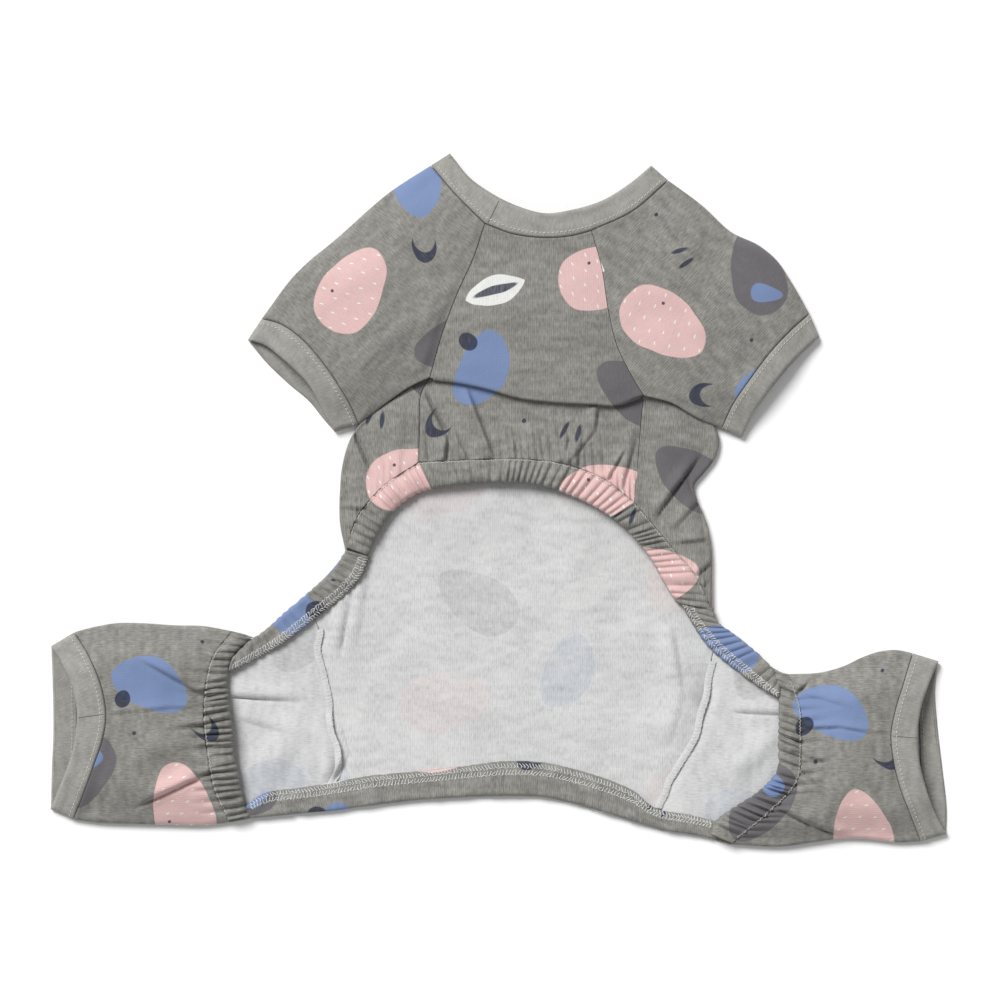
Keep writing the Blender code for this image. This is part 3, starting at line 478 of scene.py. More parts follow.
ALONG_RAGLAN, ALONG_UNDERARM, ALONG_SIDE, ALONG_HIP, ALONG_THIGH = 44, 22, 92, 18, 88
ACROSS_BODY = 112
ACROSS_WRAP = 52
INSIDE_FOLDS = [(346, 592, 335, 650, 5.0, 2.1, -0.8), (362, 577, 352, 640, 5.0, 1.6, -0.5),
                (331, 712, 345, 752, 4.6, 2.8, -1.0), (345, 752, 331, 776, 4.6, 2.4, -1.0),
                (667, 630, 678, 694, 5.5, 2.0, -0.5), (678, 694, 664, 742, 6.0, 1.5, -0.3),
                (226, 691, 295, 696, 4.6, 2.1, 1.0), (236, 712, 290, 728, 5.0, 1.7, 0.3),
                (258, 780, 300, 722, 7.0, 1.9, 0.0), (734, 707, 788, 710, 4.6, 1.7, 0.9),
                (730, 776, 776, 730, 6.0, 2.1, 0.0), (700, 690, 742, 760, 6.0, 1.9, 0.0),
                (410, 500, 470, 740, 11.0, 1.4, 0.0), (560, 520, 610, 690, 12.0, 1.2, 0.0),
                (380, 690, 640, 735, 9.0, 1.0, 0.0)]

edges = {
    "raglan_left": [(430, 378, 10.75), (443, 333, 12.3), (459, 291, 12.8), (474, 258, 12.7),
                    (485, 225, 12.5)],
    "raglan_right": [(643, 396, 10.75), (632, 378, 11.6), (616, 345, 12.3), (608, 312, 12.7),
                     (601, 268, 12.8), (591, 232, 12.5)],
    "side_left": [(359, 425, 2.6), (350, 440, 2.6), (343, 463, 2.6), (340, 492, 2.6), (340, 522, 2.6),
                  (346, 553, 2.6)],
    "side_right": [(714, 425, 2.6), (719, 440, 2.6), (716, 456, 2.6), (704, 473, 2.6), (694, 486, 2.6),
                   (697, 500, 2.6), (706, 522, 2.6), (711.5, 551, 2.6), (712, 582, 2.6), (712, 614, 2.6)],
    "hip_fore_left": [(346, 553, 2.6), (325, 577, 0.4), (300, 600, 0.0)],
    "hip_fore_right": [(712, 614, 2.6), (716, 619, 0.4), (722, 626, 0.0)],
    "hip_aft_left": [(300, 600, 0.0), (277, 620, 0.0), (255, 638, 0.0)],
    "hip_aft_right": [(722, 626, 0.0), (745, 642, 0.0), (765, 664, 0.0)],
    "thigh_left": [(300, 600, 0.0), (318, 626, 0.0), (319, 658, 0.0), (325, 681, 0.0), (329, 703, 0.0),
                   (332, 730, 0.0), (339, 753, 0.0), (337, 769, 0.0), (330, 790, 0.0), (334, 810, 0.0)],
    "thigh_right": [(722, 626, 0.0), (712, 657, 0.0), (709, 681, 0.0), (700, 715, 0.0), (692, 745, 0.0),
                    (680, 765, 0.0), (666, 788, 0.0), (658, 811, 0.0), (660, 830, 0.0)],
    "tail_hem": [(334, 810, 0.0), (379, 804.5, 0.0), (418, 800, 0.0), (466, 797, 0.0), (514, 796, 0.0),
                 (543, 797, 0.0), (571, 803, 0.0), (610, 814, 0.0), (660, 830, 0.0)],
    "tail_left": [(334, 810, 0.0), (304, 813, 0.0), (253, 818, 0.0)],
    "tail_right": [(660, 830, 0.0), (681, 833, 0.0), (707, 837, 0.0)],
    "neck_front": [(485, 225, 12.5), (512, 235, 12.75), (545, 239, 12.9), (572, 237, 12.8),
                   (591, 232, 12.5)],
    "neck_left": [(485, 225, 12.5), (457, 197, 10.6), (431, 166, 3.75)],
    "neck_right": [(591, 232, 12.5), (631, 213, 10.6), (668, 181, 3.75)],
    "chest_fold": [(430, 378, 10.75), (457, 381, 12.2), (486, 387, 12.9), (519, 396, 13.0),
                   (553, 400, 13.0), (591, 402, 12.8), (620, 403, 12.2), (643, 396, 10.75)],
    "seam_left": [(430, 378, 6.55), (422, 392, 7.0), (420, 425, 7.6), (419, 462, 7.75)],
    "seam_right": [(643, 396, 6.55), (640, 429, 7.4), (637, 467, 7.8), (634, 502, 7.75)],
    "under_left": [(359, 425, 2.6), (386, 407, 6.2), (408, 392, 6.8), (430, 378, 6.55)],
    "under_right": [(714, 425, 2.6), (688, 413, 6.2), (668, 405, 6.8), (643, 396, 6.55)],
    "casing_left": [(346, 553, 2.6), (354, 523, 6.3), (379, 490, 7.6), (419, 462, 7.75)],
    "casing_front": [(419, 462, 7.75), (465, 460, 8.2), (520, 459, 8.6), (560, 463, 8.5), (600, 477, 8.3),
                     (634, 502, 7.75)],
    "casing_right": [(634, 502, 7.75), (669, 544, 7.4), (699, 581, 6.0), (712, 614, 2.6)],
    "belly_hem": [(367, 560, 5.25), (379, 533, 6.6), (393, 512, 7.8), (419, 493, 8.6), (447, 487, 9.2),
                  (492, 483, 9.5), (521, 483, 9.5), (550, 488, 9.5), (578, 498.6, 9.2), (617, 522, 8.6),
                  (640, 545, 7.8), (652, 562, 7.2), (663, 582, 6.4), (679, 607, 5.25)],
}
GATHER_PITCH = 0.0042


def edge(name, shares):
    return through(edges[name], shares)


def gathers(run, seed, pitch=GATHER_PITCH):
    """Puffs of cloth between the pinches of an elastic: |sin| of the length along it over an uneven
    pitch, flattened by a power, and deeper or shallower from place to place."""
    uneven = run / pitch + 0.75 * soft(run, run * 0 + seed * 0.011, 0.0105, seed)
    depth = 0.70 + 0.55 * soft(run, run * 0 + 0.3, 0.009, seed + 5)
    return np.abs(np.sin(math.pi * uneven)) ** 0.75 * depth


def inside_lift(grid):
    """How far the lowest layer of cloth stands off the table."""
    x, y = grid[..., 0], grid[..., 1]
    return np.maximum(rumpled(x, y, 0.00095, 41) + 0.0007 + creased(x, y, INSIDE_FOLDS), 0.0)


def casing_run(name, shares):
    """Length along the belly elastic, counted from its left end, on one of its three stretches."""
    order = ["casing_left", "casing_front", "casing_right"]
    place = order.index(name)
    lengths = [run_of(edge(part, even(300)))[-1] for part in order]
    return sum(lengths[:place]) + lengths[place] * shares


ground = np.array([1.0, 1.0, 0.0])
across = edged(ACROSS_BODY)
borders = {}
for name in ("left", "right"):
    underarm_low = edge("under_" + name, 1 - even(ALONG_UNDERARM)) * ground
    underarm_low[:, 2] = FOLD_RADIUS * even(ALONG_UNDERARM) ** 6
    borders[name] = joined(edge("raglan_" + name, 1 - even(ALONG_RAGLAN)) * ground, underarm_low,
                           edge("side_" + name, even(ALONG_SIDE)),
                           edge("hip_fore_" + name, even(ALONG_HIP)),
                           edge("thigh_" + name, even(ALONG_THIGH)))
back = patch(borders["left"], borders["right"], edge("neck_front", across) * ground,
             edge("tail_hem", across))
back = laid(back, borders["left"][:, 2], borders["right"][:, 2])
back[..., 2] += inside_lift(back) * border_fade(back, 0.009)
side_rows = slice(ALONG_RAGLAN + ALONG_UNDERARM - 2, ALONG_RAGLAN + ALONG_UNDERARM + ALONG_SIDE - 2)
free = drawn_in(back, ends=("from",), sides=("from", "to"))
free[side_rows, 0], free[side_rows, -1] = borders["left"][side_rows], borders["right"][side_rows]
back = free

WRAP_FOLDS = {
    "left": [(348, 430, 367, 470, 3.4, 3.1, -1.0), (343, 505, 378, 509, 2.8, 1.5, 1.0),
             (350, 541, 380, 526, 2.6, 1.7, 1.0), (348, 526, 390, 514, 2.6, 1.0, 0.8),
             (400, 400, 395, 480, 7.0, 1.3, -0.3), (372, 430, 384, 482, 4.0, 1.0, -0.6)],
    "right": [(692, 461, 650, 518, 3.4, 2.5, -1.0), (708, 537, 670, 541, 3.0, 1.5, -0.9),
              (712, 559, 690, 576, 3.0, 1.5, -0.9), (668, 420, 660, 500, 8.0, 1.4, 0.0),
              (698, 497, 670, 528, 3.6, 1.4, -0.8), (706, 580, 694, 590, 2.6, 1.1, -0.8)]}
WRAP_SHIFT = (0.315, 0.027)
PUCKER_REACH, WRAP_PUCKER, BELLY_PUCKER = 0.0085, 0.0019, 0.0021
UNDERARM_LAP = {"left": 0.0036, "right": 0.0016}      # how far the wrap runs on below the sleeve
wraps = []
wrap_shares = even(ACROSS_WRAP) ** 1.35
for name, turn in (("left", 4), ("right", -4)):
    casing_shares = wrap_shares if name == "left" else 1 - wrap_shares
    casing = edge("casing_" + name, casing_shares)
    wrap = patch(edge("side_" + name, even(ALONG_SIDE)), edge("seam_" + name, even(ALONG_SIDE)),
                 edge("under_" + name, wrap_shares), casing)
    rise = quarter_round(np.linalg.norm((wrap - wrap[:, :1])[..., :2], axis=-1), FOLD_RADIUS)
    wrap[1:, :, 2] = np.maximum(wrap[1:, :, 2], (FOLD_RADIUS * (1 + 0.75 * rise))[1:])
    x, y = wrap[..., 0], wrap[..., 1]
    run = casing_run("casing_" + name, casing_shares)
    away = np.linalg.norm((wrap - wrap[-1:])[..., :2], axis=-1)
    puckers = gathers(run[None, :] + 0 * away, 3) * np.exp(-(away / PUCKER_REACH) ** 2) * WRAP_PUCKER
    slack = rumpled(x, y, 0.0009, 51) + creased(x, y, WRAP_FOLDS[name])
    wrap[..., 2] += (slack * border_fade(wrap, 0.005, (1, 0, 1, 1))
                     + puckers * border_fade(wrap, 0.004, (0, 0, 1, 0)))
    wrap = drawn_in(wrap, sides=("to",))
    under = (wrap[0] - wrap[1]) * ground
    wrap[0] += under / np.linalg.norm(under, axis=-1, keepdims=True) * UNDERARM_LAP[name]
    wrap[:, 0] = edge("side_" + name, even(ALONG_SIDE))
    wraps.append((wrap, cloth_map(wrap, turn, WRAP_SHIFT), True))
back_panel = cut("back_panel_cloth", "back_panel",
                 [(back, cloth_map(back, 0, (0.055, 0.02)), False)] + wraps)

# Belly panel: chest and belly cut in one from the same jersey. A tuck folds the cloth back under
# the lower edge of the chest, and the belly is gathered into the elastic hem.
TUCK_DEPTH = 0.009
FOLD_TURNS = [20, 40, 60, 90, 120, 150, 180]
FOLD_DRAW, HIDDEN_DRAW = 0.7, 1.6     # how far the tuck's ends draw in, in fold radii
BELLY_SHIFT = (0.098, 0.085)
CHEST_FOLDS = [(478, 268, 520, 330, 10.0, 0.7, 0.0), (610, 262, 600, 350, 9.0, 0.6, 0.0),
               (440, 362, 540, 372, 8.0, 0.6, 0.0), (560, 380, 640, 384, 8.0, 0.5, 0.0)]
BELLY_FOLDS = [(418, 388, 445, 438, 3.2, 3.3, -1.0), (445, 438, 442, 472, 3.0, 2.7, -1.0),
               (467, 394, 494, 464, 3.2, 3.1, -1.0), (595, 402, 592, 430, 3.4, 2.4, -0.8),
               (592, 430, 560, 468, 3.4, 1.5, -0.6), (636, 428, 618, 488, 4.0, 1.9, -0.8),
               (530, 424, 536, 462, 5.0, 1.1, -0.3), (455, 436, 468, 466, 2.8, 1.6, -0.9),
               (622, 450, 602, 484, 2.8, 1.6, -0.9), (566, 436, 560, 466, 2.6, 1.3, -0.8),
               (512, 440, 514, 464, 2.6, 1.2, -0.8), (481, 440, 484, 466, 2.4, 1.1, -0.8),
               (580, 428, 574, 470, 2.8, 1.3, -0.8)]
ACROSS_BELLY, ALONG_CHEST = 190, 62
across = edged(ACROSS_BELLY)
neck = edge("neck_front", across)
chest = patch(edge("raglan_left", 1 - even(ALONG_CHEST)), edge("raglan_right", 1 - even(ALONG_CHEST)),
              neck, edge("chest_fold", across))
x, y = chest[..., 0], chest[..., 1]
chest[..., 2] += (rumpled(x, y, 0.00065, 61) + creased(x, y, CHEST_FOLDS)) * border_fade(chest, 0.010)
fold = chest[-1]
down = np.stack([np.gradient(fold[:, 1]), -np.gradient(fold[:, 0]), 0 * fold[:, 0]], axis=-1)
down /= np.linalg.norm(down, axis=-1, keepdims=True)
up = np.array([0.0, 0.0, 1.0])
first, second = JERSEY_WALL + SEAM_GAP, 2 * SEAM_GAP
tuck = [fold + down * first * math.sin(turn) - up * first * (1 - math.cos(turn))
        for turn in np.radians(FOLD_TURNS)]
hidden = fold - down * TUCK_DEPTH - up * 2 * first
tuck += [hidden - down * second * math.sin(turn) - up * second * (1 - math.cos(turn))
         for turn in np.radians([0, 60, 120, 180])]
tuck = np.array(tuck)
draws = np.where(np.arange(len(tuck)) < len(FOLD_TURNS), FOLD_DRAW, HIDDEN_DRAW)
tuck[..., 0] += np.linspace(1, -1, len(fold)) * draws[:, None] * FOLD_RADIUS
belly = patch(edge("seam_left", even(74)), edge("seam_right", even(74)), fold - up * 2 * (first + second),
              edge("casing_front", across))
x, y = belly[..., 0], belly[..., 1]
away = np.linalg.norm((belly - belly[-1:])[..., :2], axis=-1)
run = casing_run("casing_front", shares_of(belly[-1]))
reach = 0.013 + 0.009 * soft(run, run * 0, 0.008, 7)
belly[..., 2] += gathers(run[None, :] + 0.12 * away, 3) * np.exp(-(away / reach) ** 2) * BELLY_PUCKER
belly[..., 2] += ((rumpled(x, y, 0.0009, 71) + creased(x, y, BELLY_FOLDS))
                  * border_fade(belly, 0.006, (1, 0, 1, 1)) * step(away / 0.003 + 0.35))
panel = np.concatenate([drawn_in(chest, ends=("from",), sides=("from", "to")), tuck,
                        drawn_in(belly, sides=("from", "to"))])
belly_panel = cut("belly_panel_cloth", "belly_panel", [(panel, cloth_map(panel, 0, BELLY_SHIFT), True)])

# Sleeves: short raglan tubes of jersey for the front legs, sewn to the chest and back along the
# raglan seams and into the neck binding at their upper corners.
ACROSS_SLEEVE, ALONG_SLEEVE = (62, 46), 80
SLEEVE_FOLDS = {
    "left": [(430, 215, 330, 300, 12.0, 0.7, 0.0), (455, 290, 345, 372, 9.0, 1.3, 0.2),
             (400, 360, 352, 400, 6.0, 0.9, 0.3), (330, 262, 290, 310, 8.0, 0.6, 0.0),
             (440, 345, 405, 378, 5.0, 0.8, 0.0)],
    "right": [(640, 300, 760, 390, 9.0, -1.2, 0.0), (700, 222, 690, 268, 7.0, 1.3, -0.3),
              (735, 240, 705, 300, 9.0, -0.7, 0.0), (645, 380, 715, 412, 5.0, 0.8, 0.3),
              (790, 300, 740, 350, 8.0, 0.8, 0.0)]}
SLEEVE_LINES = {
    "left": {"underarm": [(430, 378, 10.75), (411, 387, 9.6), (390, 401, 7.4), (359, 425, 2.6)],
             "shoulder": [(431, 166, 3.75), (392, 191, 3.4), (339, 237, 3.0), (297, 273, 2.8),
                          (262, 319, 2.6)],
             "front": [(359, 425, 2.6), (353, 410, 2.6), (340, 387, 2.6), (321, 360, 2.6), (302, 339, 2.6),
                       (280, 324, 2.6), (262, 319, 2.6)],
             "back": [(359, 425, 2.6), (312, 369, 2.6), (262, 319, 2.6)]},
    "right": {"underarm": [(643, 396, 10.75), (672, 404, 9.6), (694, 417, 7.4), (721, 429, 2.6)],
              "shoulder": [(668, 181, 3.75), (702, 206, 3.4), (732, 233, 3.1), (759, 246, 2.9),
                           (774, 258, 2.8), (792, 284, 2.7), (809, 314, 2.6)],
              "front": [(721, 429, 2.6), (732, 405, 2.6), (751, 377, 2.6), (770, 352, 2.6),
                        (790, 331, 2.6), (809, 314, 2.6)],
              "back": [(721, 429, 2.6), (749, 380, 2.6), (788, 333, 2.6), (809, 314, 2.6)]}}
SLEEVE_MOUTH_TOP, SLEEVE_SWELL, SHOULDER_ROLL = 0.0108, 0.0020, 0.0030
sleeve_rims = {}
for name, turn, shift in (("left", 47, (0.124, 0.072)), ("right", -43, (0.028, 0.122))):
    lines = SLEEVE_LINES[name]
    inner = joined(edge("raglan_" + name, even(ACROSS_SLEEVE[0])),
                   edge("neck_" + name, even(ACROSS_SLEEVE[1])))
    columns = edged(len(inner))
    underarm, shoulder = (through(lines[key], even(ALONG_SLEEVE)) for key in ("underarm", "shoulder"))
    front = arched(through(lines["front"], columns), SLEEVE_MOUTH_TOP)
    upper = patch(underarm, shoulder, inner, front)
    rows, across_share = even(ALONG_SLEEVE)[:, None], columns[None]
    upper[..., 2] += SLEEVE_SWELL * np.sin(math.pi * rows) * np.sin(math.pi * across_share)
    from_shoulder = np.linalg.norm((upper - upper[:, -1:])[..., :2], axis=-1)
    shoulder_rise = quarter_round(from_shoulder, 0.006) - step(from_shoulder / 0.03)
    upper[..., 2] += SHOULDER_ROLL * shoulder_rise * np.sin(
        math.pi * rows) ** 0.5
    x, y = upper[..., 0], upper[..., 1]
    upper[..., 2] += (rumpled(x, y, 0.0011, 81 + int(shift[0] * 1000)) + creased(x, y, SLEEVE_FOLDS[name])
                      ) * border_fade(upper, 0.008)
    lower = laid(patch(underarm, shoulder, inner, through(lines["back"], columns)), underarm[:, 2],
                 shoulder[:, 2])
    x, y = lower[..., 0], lower[..., 1]
    lower[..., 2] += np.maximum(rumpled(x, y, 0.0004, 91) + 0.0002, 0.0) * border_fade(lower, 0.012)
    sleeve_rims[name] = (upper[-1].copy(), lower[-1].copy())
    upper = drawn_in(upper, ends=("from", "to"))
    lower = drawn_in(lower, ends=("from", "to"))
    sleeve = cut("sleeve_cloth_" + name, "sleeve_" + name,
                 [(upper, cloth_map(upper, turn, shift), True),
                  (lower, cloth_map(lower, turn, (shift[0] + 0.07, shift[1] + 0.03)), False)])

# Rear legs: tubes of jersey with a gathered inner mouth. Their lower layer runs on, wrong side up,
# to the thigh seam, where it is sewn to the back panel.
ACROSS_LEG, ALONG_LEG, ALONG_MOUTH, ALONG_SEAT = 126, 84, 10, 34
LEG_FOLDS = {
    "left": [(140, 800, 205, 770, 4.2, 2.9, 1.0), (205, 770, 236, 751, 3.6, 2.5, 1.0),
             (150, 658, 214, 695, 5.0, 2.3, 0.8), (176, 724, 228, 720, 3.2, 1.9, 1.0),
             (200, 743, 234, 736, 2.8, 1.7, 1.0), (106, 712, 142, 708, 2.4, 0.8, 1.0),
             (142, 708, 172, 705, 2.4, 0.9, 1.0), (172, 705, 226, 704, 2.4, 1.1, 1.0),
             (120, 650, 190, 672, 9.0, 1.2, 0.0), (130, 760, 190, 738, 8.0, 1.3, 0.2),
             (196, 688, 228, 684, 2.6, 1.5, 0.9), (206, 650, 226, 662, 2.8, 1.4, 0.9),
             (212, 790, 232, 782, 2.8, 1.2, 0.9)],
    "right": [(780, 805, 813, 821, 4.0, 3.0, 1.0), (813, 821, 848, 835, 3.6, 2.5, 1.0),
              (788, 712, 808, 725, 3.0, 1.8, 1.0), (808, 725, 838, 724, 2.4, 1.3, 1.0),
              (838, 724, 866, 729, 2.4, 1.0, 1.0), (866, 729, 890, 730, 2.4, 0.8, 1.0),
              (786, 697, 808, 676, 3.6, 2.2, 0.9), (795, 750, 824, 758, 2.8, 1.8, 1.0),
              (793, 769, 814, 788, 3.2, 1.9, -0.9), (870, 670, 830, 700, 9.0, 1.4, 0.0),
              (860, 770, 820, 800, 10.0, 1.5, 0.0), (800, 688, 845, 700, 5.0, 1.4, 0.4)]}
LEG_LINES = {
    "left": {"top": [(75, 632, 2.6), (94, 627, 2.6), (118, 623, 2.6), (142, 623, 2.6), (173, 625, 2.6),
                     (205, 626, 2.6), (232, 631, 2.6)],
             "top_mouth": [(232, 631, 2.6), (244, 634, 1.3), (255, 638, 0.0)],
             "low": [(74, 819, 2.6), (95, 822, 2.6), (126, 823.5, 2.6), (169, 824.5, 2.6), (205, 825, 2.6),
                     (230, 822, 2.6)],
             "low_mouth": [(230, 822, 2.6), (242, 820, 1.3), (253, 818, 0.0)],
             "front": [(75, 632, 2.6), (89, 653, 2.6), (99, 673, 2.6), (106, 697, 2.6), (108, 715, 2.6),
                       (105, 737, 2.6), (97, 761, 2.6), (87, 788, 2.6), (74, 819, 2.6)],
             "back": [(75, 632, 2.6), (77, 680, 2.6), (77, 760, 2.6), (74, 819, 2.6)],
             "seam": [(232, 631, 2.6), (214, 656, 2.6), (206, 690, 2.6), (205, 725, 2.6), (209, 755, 2.6),
                      (214, 785, 2.6), (230, 822, 2.6)],
             "hem": [(255, 638, 2.6), (236, 655, 4.2), (229, 675, 7.0), (229.5, 697, 8.6), (233, 720, 9.2),
                     (235, 745, 9.2), (239, 770, 8.6), (243, 790, 7.2), (246, 803, 5.2), (253, 818, 3.0)]},
    "right": {"top": [(912, 653, 2.6), (898, 650, 2.6), (881, 651, 2.6), (862, 657, 2.6), (843, 666, 2.6),
                      (822, 672, 2.6), (788, 674, 2.6)],
              "top_mouth": [(788, 674, 2.6), (776, 671, 1.3), (765, 664, 0.0)],
              "low": [(920, 841, 2.6), (898, 842, 2.6), (865, 838.6, 2.6), (846, 838, 2.6),
                      (813, 842, 2.6), (784, 846, 2.6), (730, 844, 2.6)],
              "low_mouth": [(730, 844, 2.6), (718, 841, 1.3), (707, 837, 0.0)],
              "front": [(912, 653, 2.6), (903, 679, 2.6), (893, 711, 2.6), (889, 734, 2.6),
                        (891, 756, 2.6), (898, 786, 2.6), (909, 814, 2.6), (920, 841, 2.6)],
              "back": [(912, 653, 2.6), (917, 700, 2.6), (920, 760, 2.6), (920, 841, 2.6)],
              "seam": [(788, 674, 2.6), (798, 702, 2.6), (800, 740, 2.6), (796, 780, 2.6), (768, 812, 2.6),
                       (730, 844, 2.6)],
              "hem": [(765, 664, 2.6), (777, 690, 5.6), (778, 715, 8.6), (777.5, 745, 9.2),
                      (776, 770, 9.0), (763, 786, 8.4), (738, 804, 6.8), (716, 820, 4.6),
                      (707, 837, 3.0)]}}
LEG_CUFF_TOP, LEG_SEAM_TOP, LEG_SWELL = 0.0125, 0.0100, 0.0040
LEG_PITCH, LEG_REACH, LEG_PUCKER = 0.0054, 0.009, 0.0022
leg_rims, leg_mouths = {}, {}
columns = edged(ACROSS_LEG)
LEG_SHIFTS = {"left": (0.305, 0.255), "right": (0.075, 0.256)}
for name, shift in LEG_SHIFTS.items():
    lines = LEG_LINES[name]
    rails = [through(lines[key], even(ALONG_LEG)) for key in ("top", "low")]
    mouths = [through(lines[key], even(ALONG_MOUTH)) for key in ("top_mouth", "low_mouth")]
    front = arched(through(lines["front"], columns), LEG_CUFF_TOP)
    seam = arched(through(lines["seam"], columns), LEG_SEAM_TOP)
    upper = patch(rails[0], rails[1], front, seam)
    swell_rows = LEG_SWELL * np.sin(math.pi * even(ALONG_LEG))[:, None]
    upper[..., 2] += swell_rows * np.sin(math.pi * columns)[None]
    away = np.linalg.norm((upper - upper[-1:])[..., :2], axis=-1)
    x, y = upper[..., 0], upper[..., 1]
    puckers = gathers(run_of(seam)[None] + 0 * away, 13, LEG_PITCH) * np.exp(-(away / LEG_REACH) ** 2)
    upper[..., 2] += puckers * LEG_PUCKER * border_fade(upper, 0.006, (0, 0, 1, 1))
    upper[..., 2] += ((rumpled(x, y, 0.0012, 101 + int(shift[0] * 100)) + creased(x, y, LEG_FOLDS[name]))
                      * border_fade(upper, 0.006, (1, 0, 1, 1)))
    hip = edge("hip_aft_" + name, 1 - even(ALONG_SEAT))
    tail = edge("tail_" + name, 1 - even(ALONG_SEAT))
    sides = (joined(rails[0], mouths[0], hip), joined(rails[1], mouths[1], tail))
    lower = patch(*sides, through(lines["back"], columns), edge("thigh_" + name, columns))
    lower = laid(lower, sides[0][:, 2], sides[1][:, 2])
    lower[..., 2] += inside_lift(lower) * border_fade(lower, 0.007)
    leg_rims[name] = (upper[0].copy(), lower[0].copy())
    leg_mouths[name] = (upper[-1].copy(), through(lines["hem"], shares_of(upper[-1])))
    short = drawn_in(upper, ends=("from",))
    short[:, 0], short[:, -1] = upper[:, 0], upper[:, -1]
    lower = drawn_in(lower, ends=("from", "to"))
    short[0, (0, -1)] = lower[0, (0, -1)]
    leg = cut("leg_cloth_" + name, "leg_" + name,
              [(short, cloth_map(short, 90, shift), True),
               (lower, cloth_map(lower, 90, (shift[0] + 0.052, shift[1] + 0.064)), False)])

# Bindings: a folded strip of plain rib round the neck and each cuff, twelve millimetres deep, sewn
# on with one row of twin-needle stitches and closed with a short seam across it.
RIB_GREY = (0.290, 0.286, 0.262, 1.0)
BINDING_WALL = 0.0019
BINDING_WIDTH = 0.012
CUFF_TOPS, CUFF_REACH = {"sleeve": 0.0100, "leg": 0.0120}, 0.028
BINDING_ROWS = 16
ALONG_BINDING = 136
rib = Dye("rib_binding", 0.92, 0.15)
u, v = rib.cloth()
colour = melange(rib, u, v, RIB_GREY, (0.195, 0.191, 0.174, 1.0), (0.380, 0.375, 0.348, 1.0))
rib.feed(rib.shader.inputs["Base Color"], colour)
knit_relief(rib, u, v, 0.00085, 0.65)

BINDING_EDGES = {
    "left": ([(335, 432, 2.4), (322, 408, 2.4), (310, 386, 2.4), (296, 371, 2.4), (279, 356, 2.4),
              (264, 345, 2.4), (248, 340, 2.4)],
             [(335, 432, 2.4), (322, 417, 2.4), (310, 402, 2.4), (289, 384, 2.4), (266, 362, 2.4),
              (248, 340, 2.4)]),
    "right": ([(741, 438, 2.4), (751, 417, 2.4), (772, 385, 2.4), (795, 358, 2.4), (819, 337, 2.4)],
              [(741, 438, 2.4), (752, 416, 2.4), (774, 385, 2.4), (797, 358, 2.4), (819, 337, 2.4)])}
LEG_EDGES = {
    "left": ([(51.5, 646, 2.4), (65, 667, 2.4), (75, 689, 2.4), (79, 712, 2.4), (78, 728, 2.4),
              (75, 747, 2.4), (68, 769, 2.4), (59, 790, 2.4), (51, 809, 2.4)],
             [(51.5, 646, 2.4), (53, 690, 2.4), (53.5, 730, 2.4), (52, 770, 2.4), (51, 809, 2.4)]),
    "right": ([(938, 661, 2.4), (928, 683, 2.4), (919, 708, 2.4), (916, 734, 2.4), (917.5, 759, 2.4),
               (923, 783, 2.4), (932, 808, 2.4), (946, 834, 2.4)],
              [(938, 661, 2.4), (935, 690, 2.4), (937, 723, 2.4), (942, 767, 2.4), (946.5, 811, 2.4),
               (946, 834, 2.4)])}
neck_front_line = joined(edge("neck_left", 1 - even(60)), edge("neck_front", even(90)),
                         edge("neck_right", even(60)))
NECK_EDGES = ([(450, 154, 3.4), (470, 180, 7.6), (488, 194, 10.4), (519, 209, 12.0), (543, 214.5, 12.3),
               (572, 211, 12.2), (601, 202, 11.0), (630, 184, 8.0), (651, 166, 3.4)],
              [(450, 154, 3.4), (470, 178, 0.6), (488, 191, 0.0), (519, 206.5, 0.0), (543, 213, 0.0),
               (572, 211, 0.0), (601, 202, 0.0), (630, 184, 0.6), (651, 166, 3.4)])


def binding_layer(seam_line, free_line, upper):
    """Band between two lines: level across, rounded down at its free edge and at its seam."""
    out = even(BINDING_ROWS)[:, None, None] ** 0.9
    layer = seam_line[None] * (1 - out) + free_line[None] * out
    run = run_of(seam_line)
    inner = step(np.minimum(run, run[-1] - run) / 0.004)[None, :]
    away = out[..., 0] * BINDING_WIDTH
    if upper:
        layer[..., 2] += 0.0007 * quarter_round(away, 0.0012) * inner
        layer[..., 2] -= 0.0012 * (1 - quarter_round(BINDING_WIDTH - away, 0.0018)) * inner
        unevenness = 0.00025 * soft(layer[..., 0], layer[..., 1], 0.011, 201)
        layer[..., 2] += unevenness * inner * step(away / 0.003)
    else:
        layer[..., 2] += 0.0005 * (1 - quarter_round(BINDING_WIDTH - away, 0.0015)) * inner
    way = layer[1:2] - layer[:1]
    layer[0] += (way * SEAM_GAP * 0.5 / np.linalg.norm(way, axis=-1, keepdims=True))[0]
    return layer


def crown(line, top, reach=CROWN_REACH):
    """The line lifted between its two ends by a rounded crown to the given height."""
    run = run_of(line)
    distance = np.minimum(run, run[-1] - run)
    lifted = line.copy()
    lifted[:, 2] += (quarter_round(distance, FOLD_RADIUS) * FOLD_RADIUS
                     + step(distance / reach) * (top - FOLD_RADIUS - line[:, 2]))
    return lifted


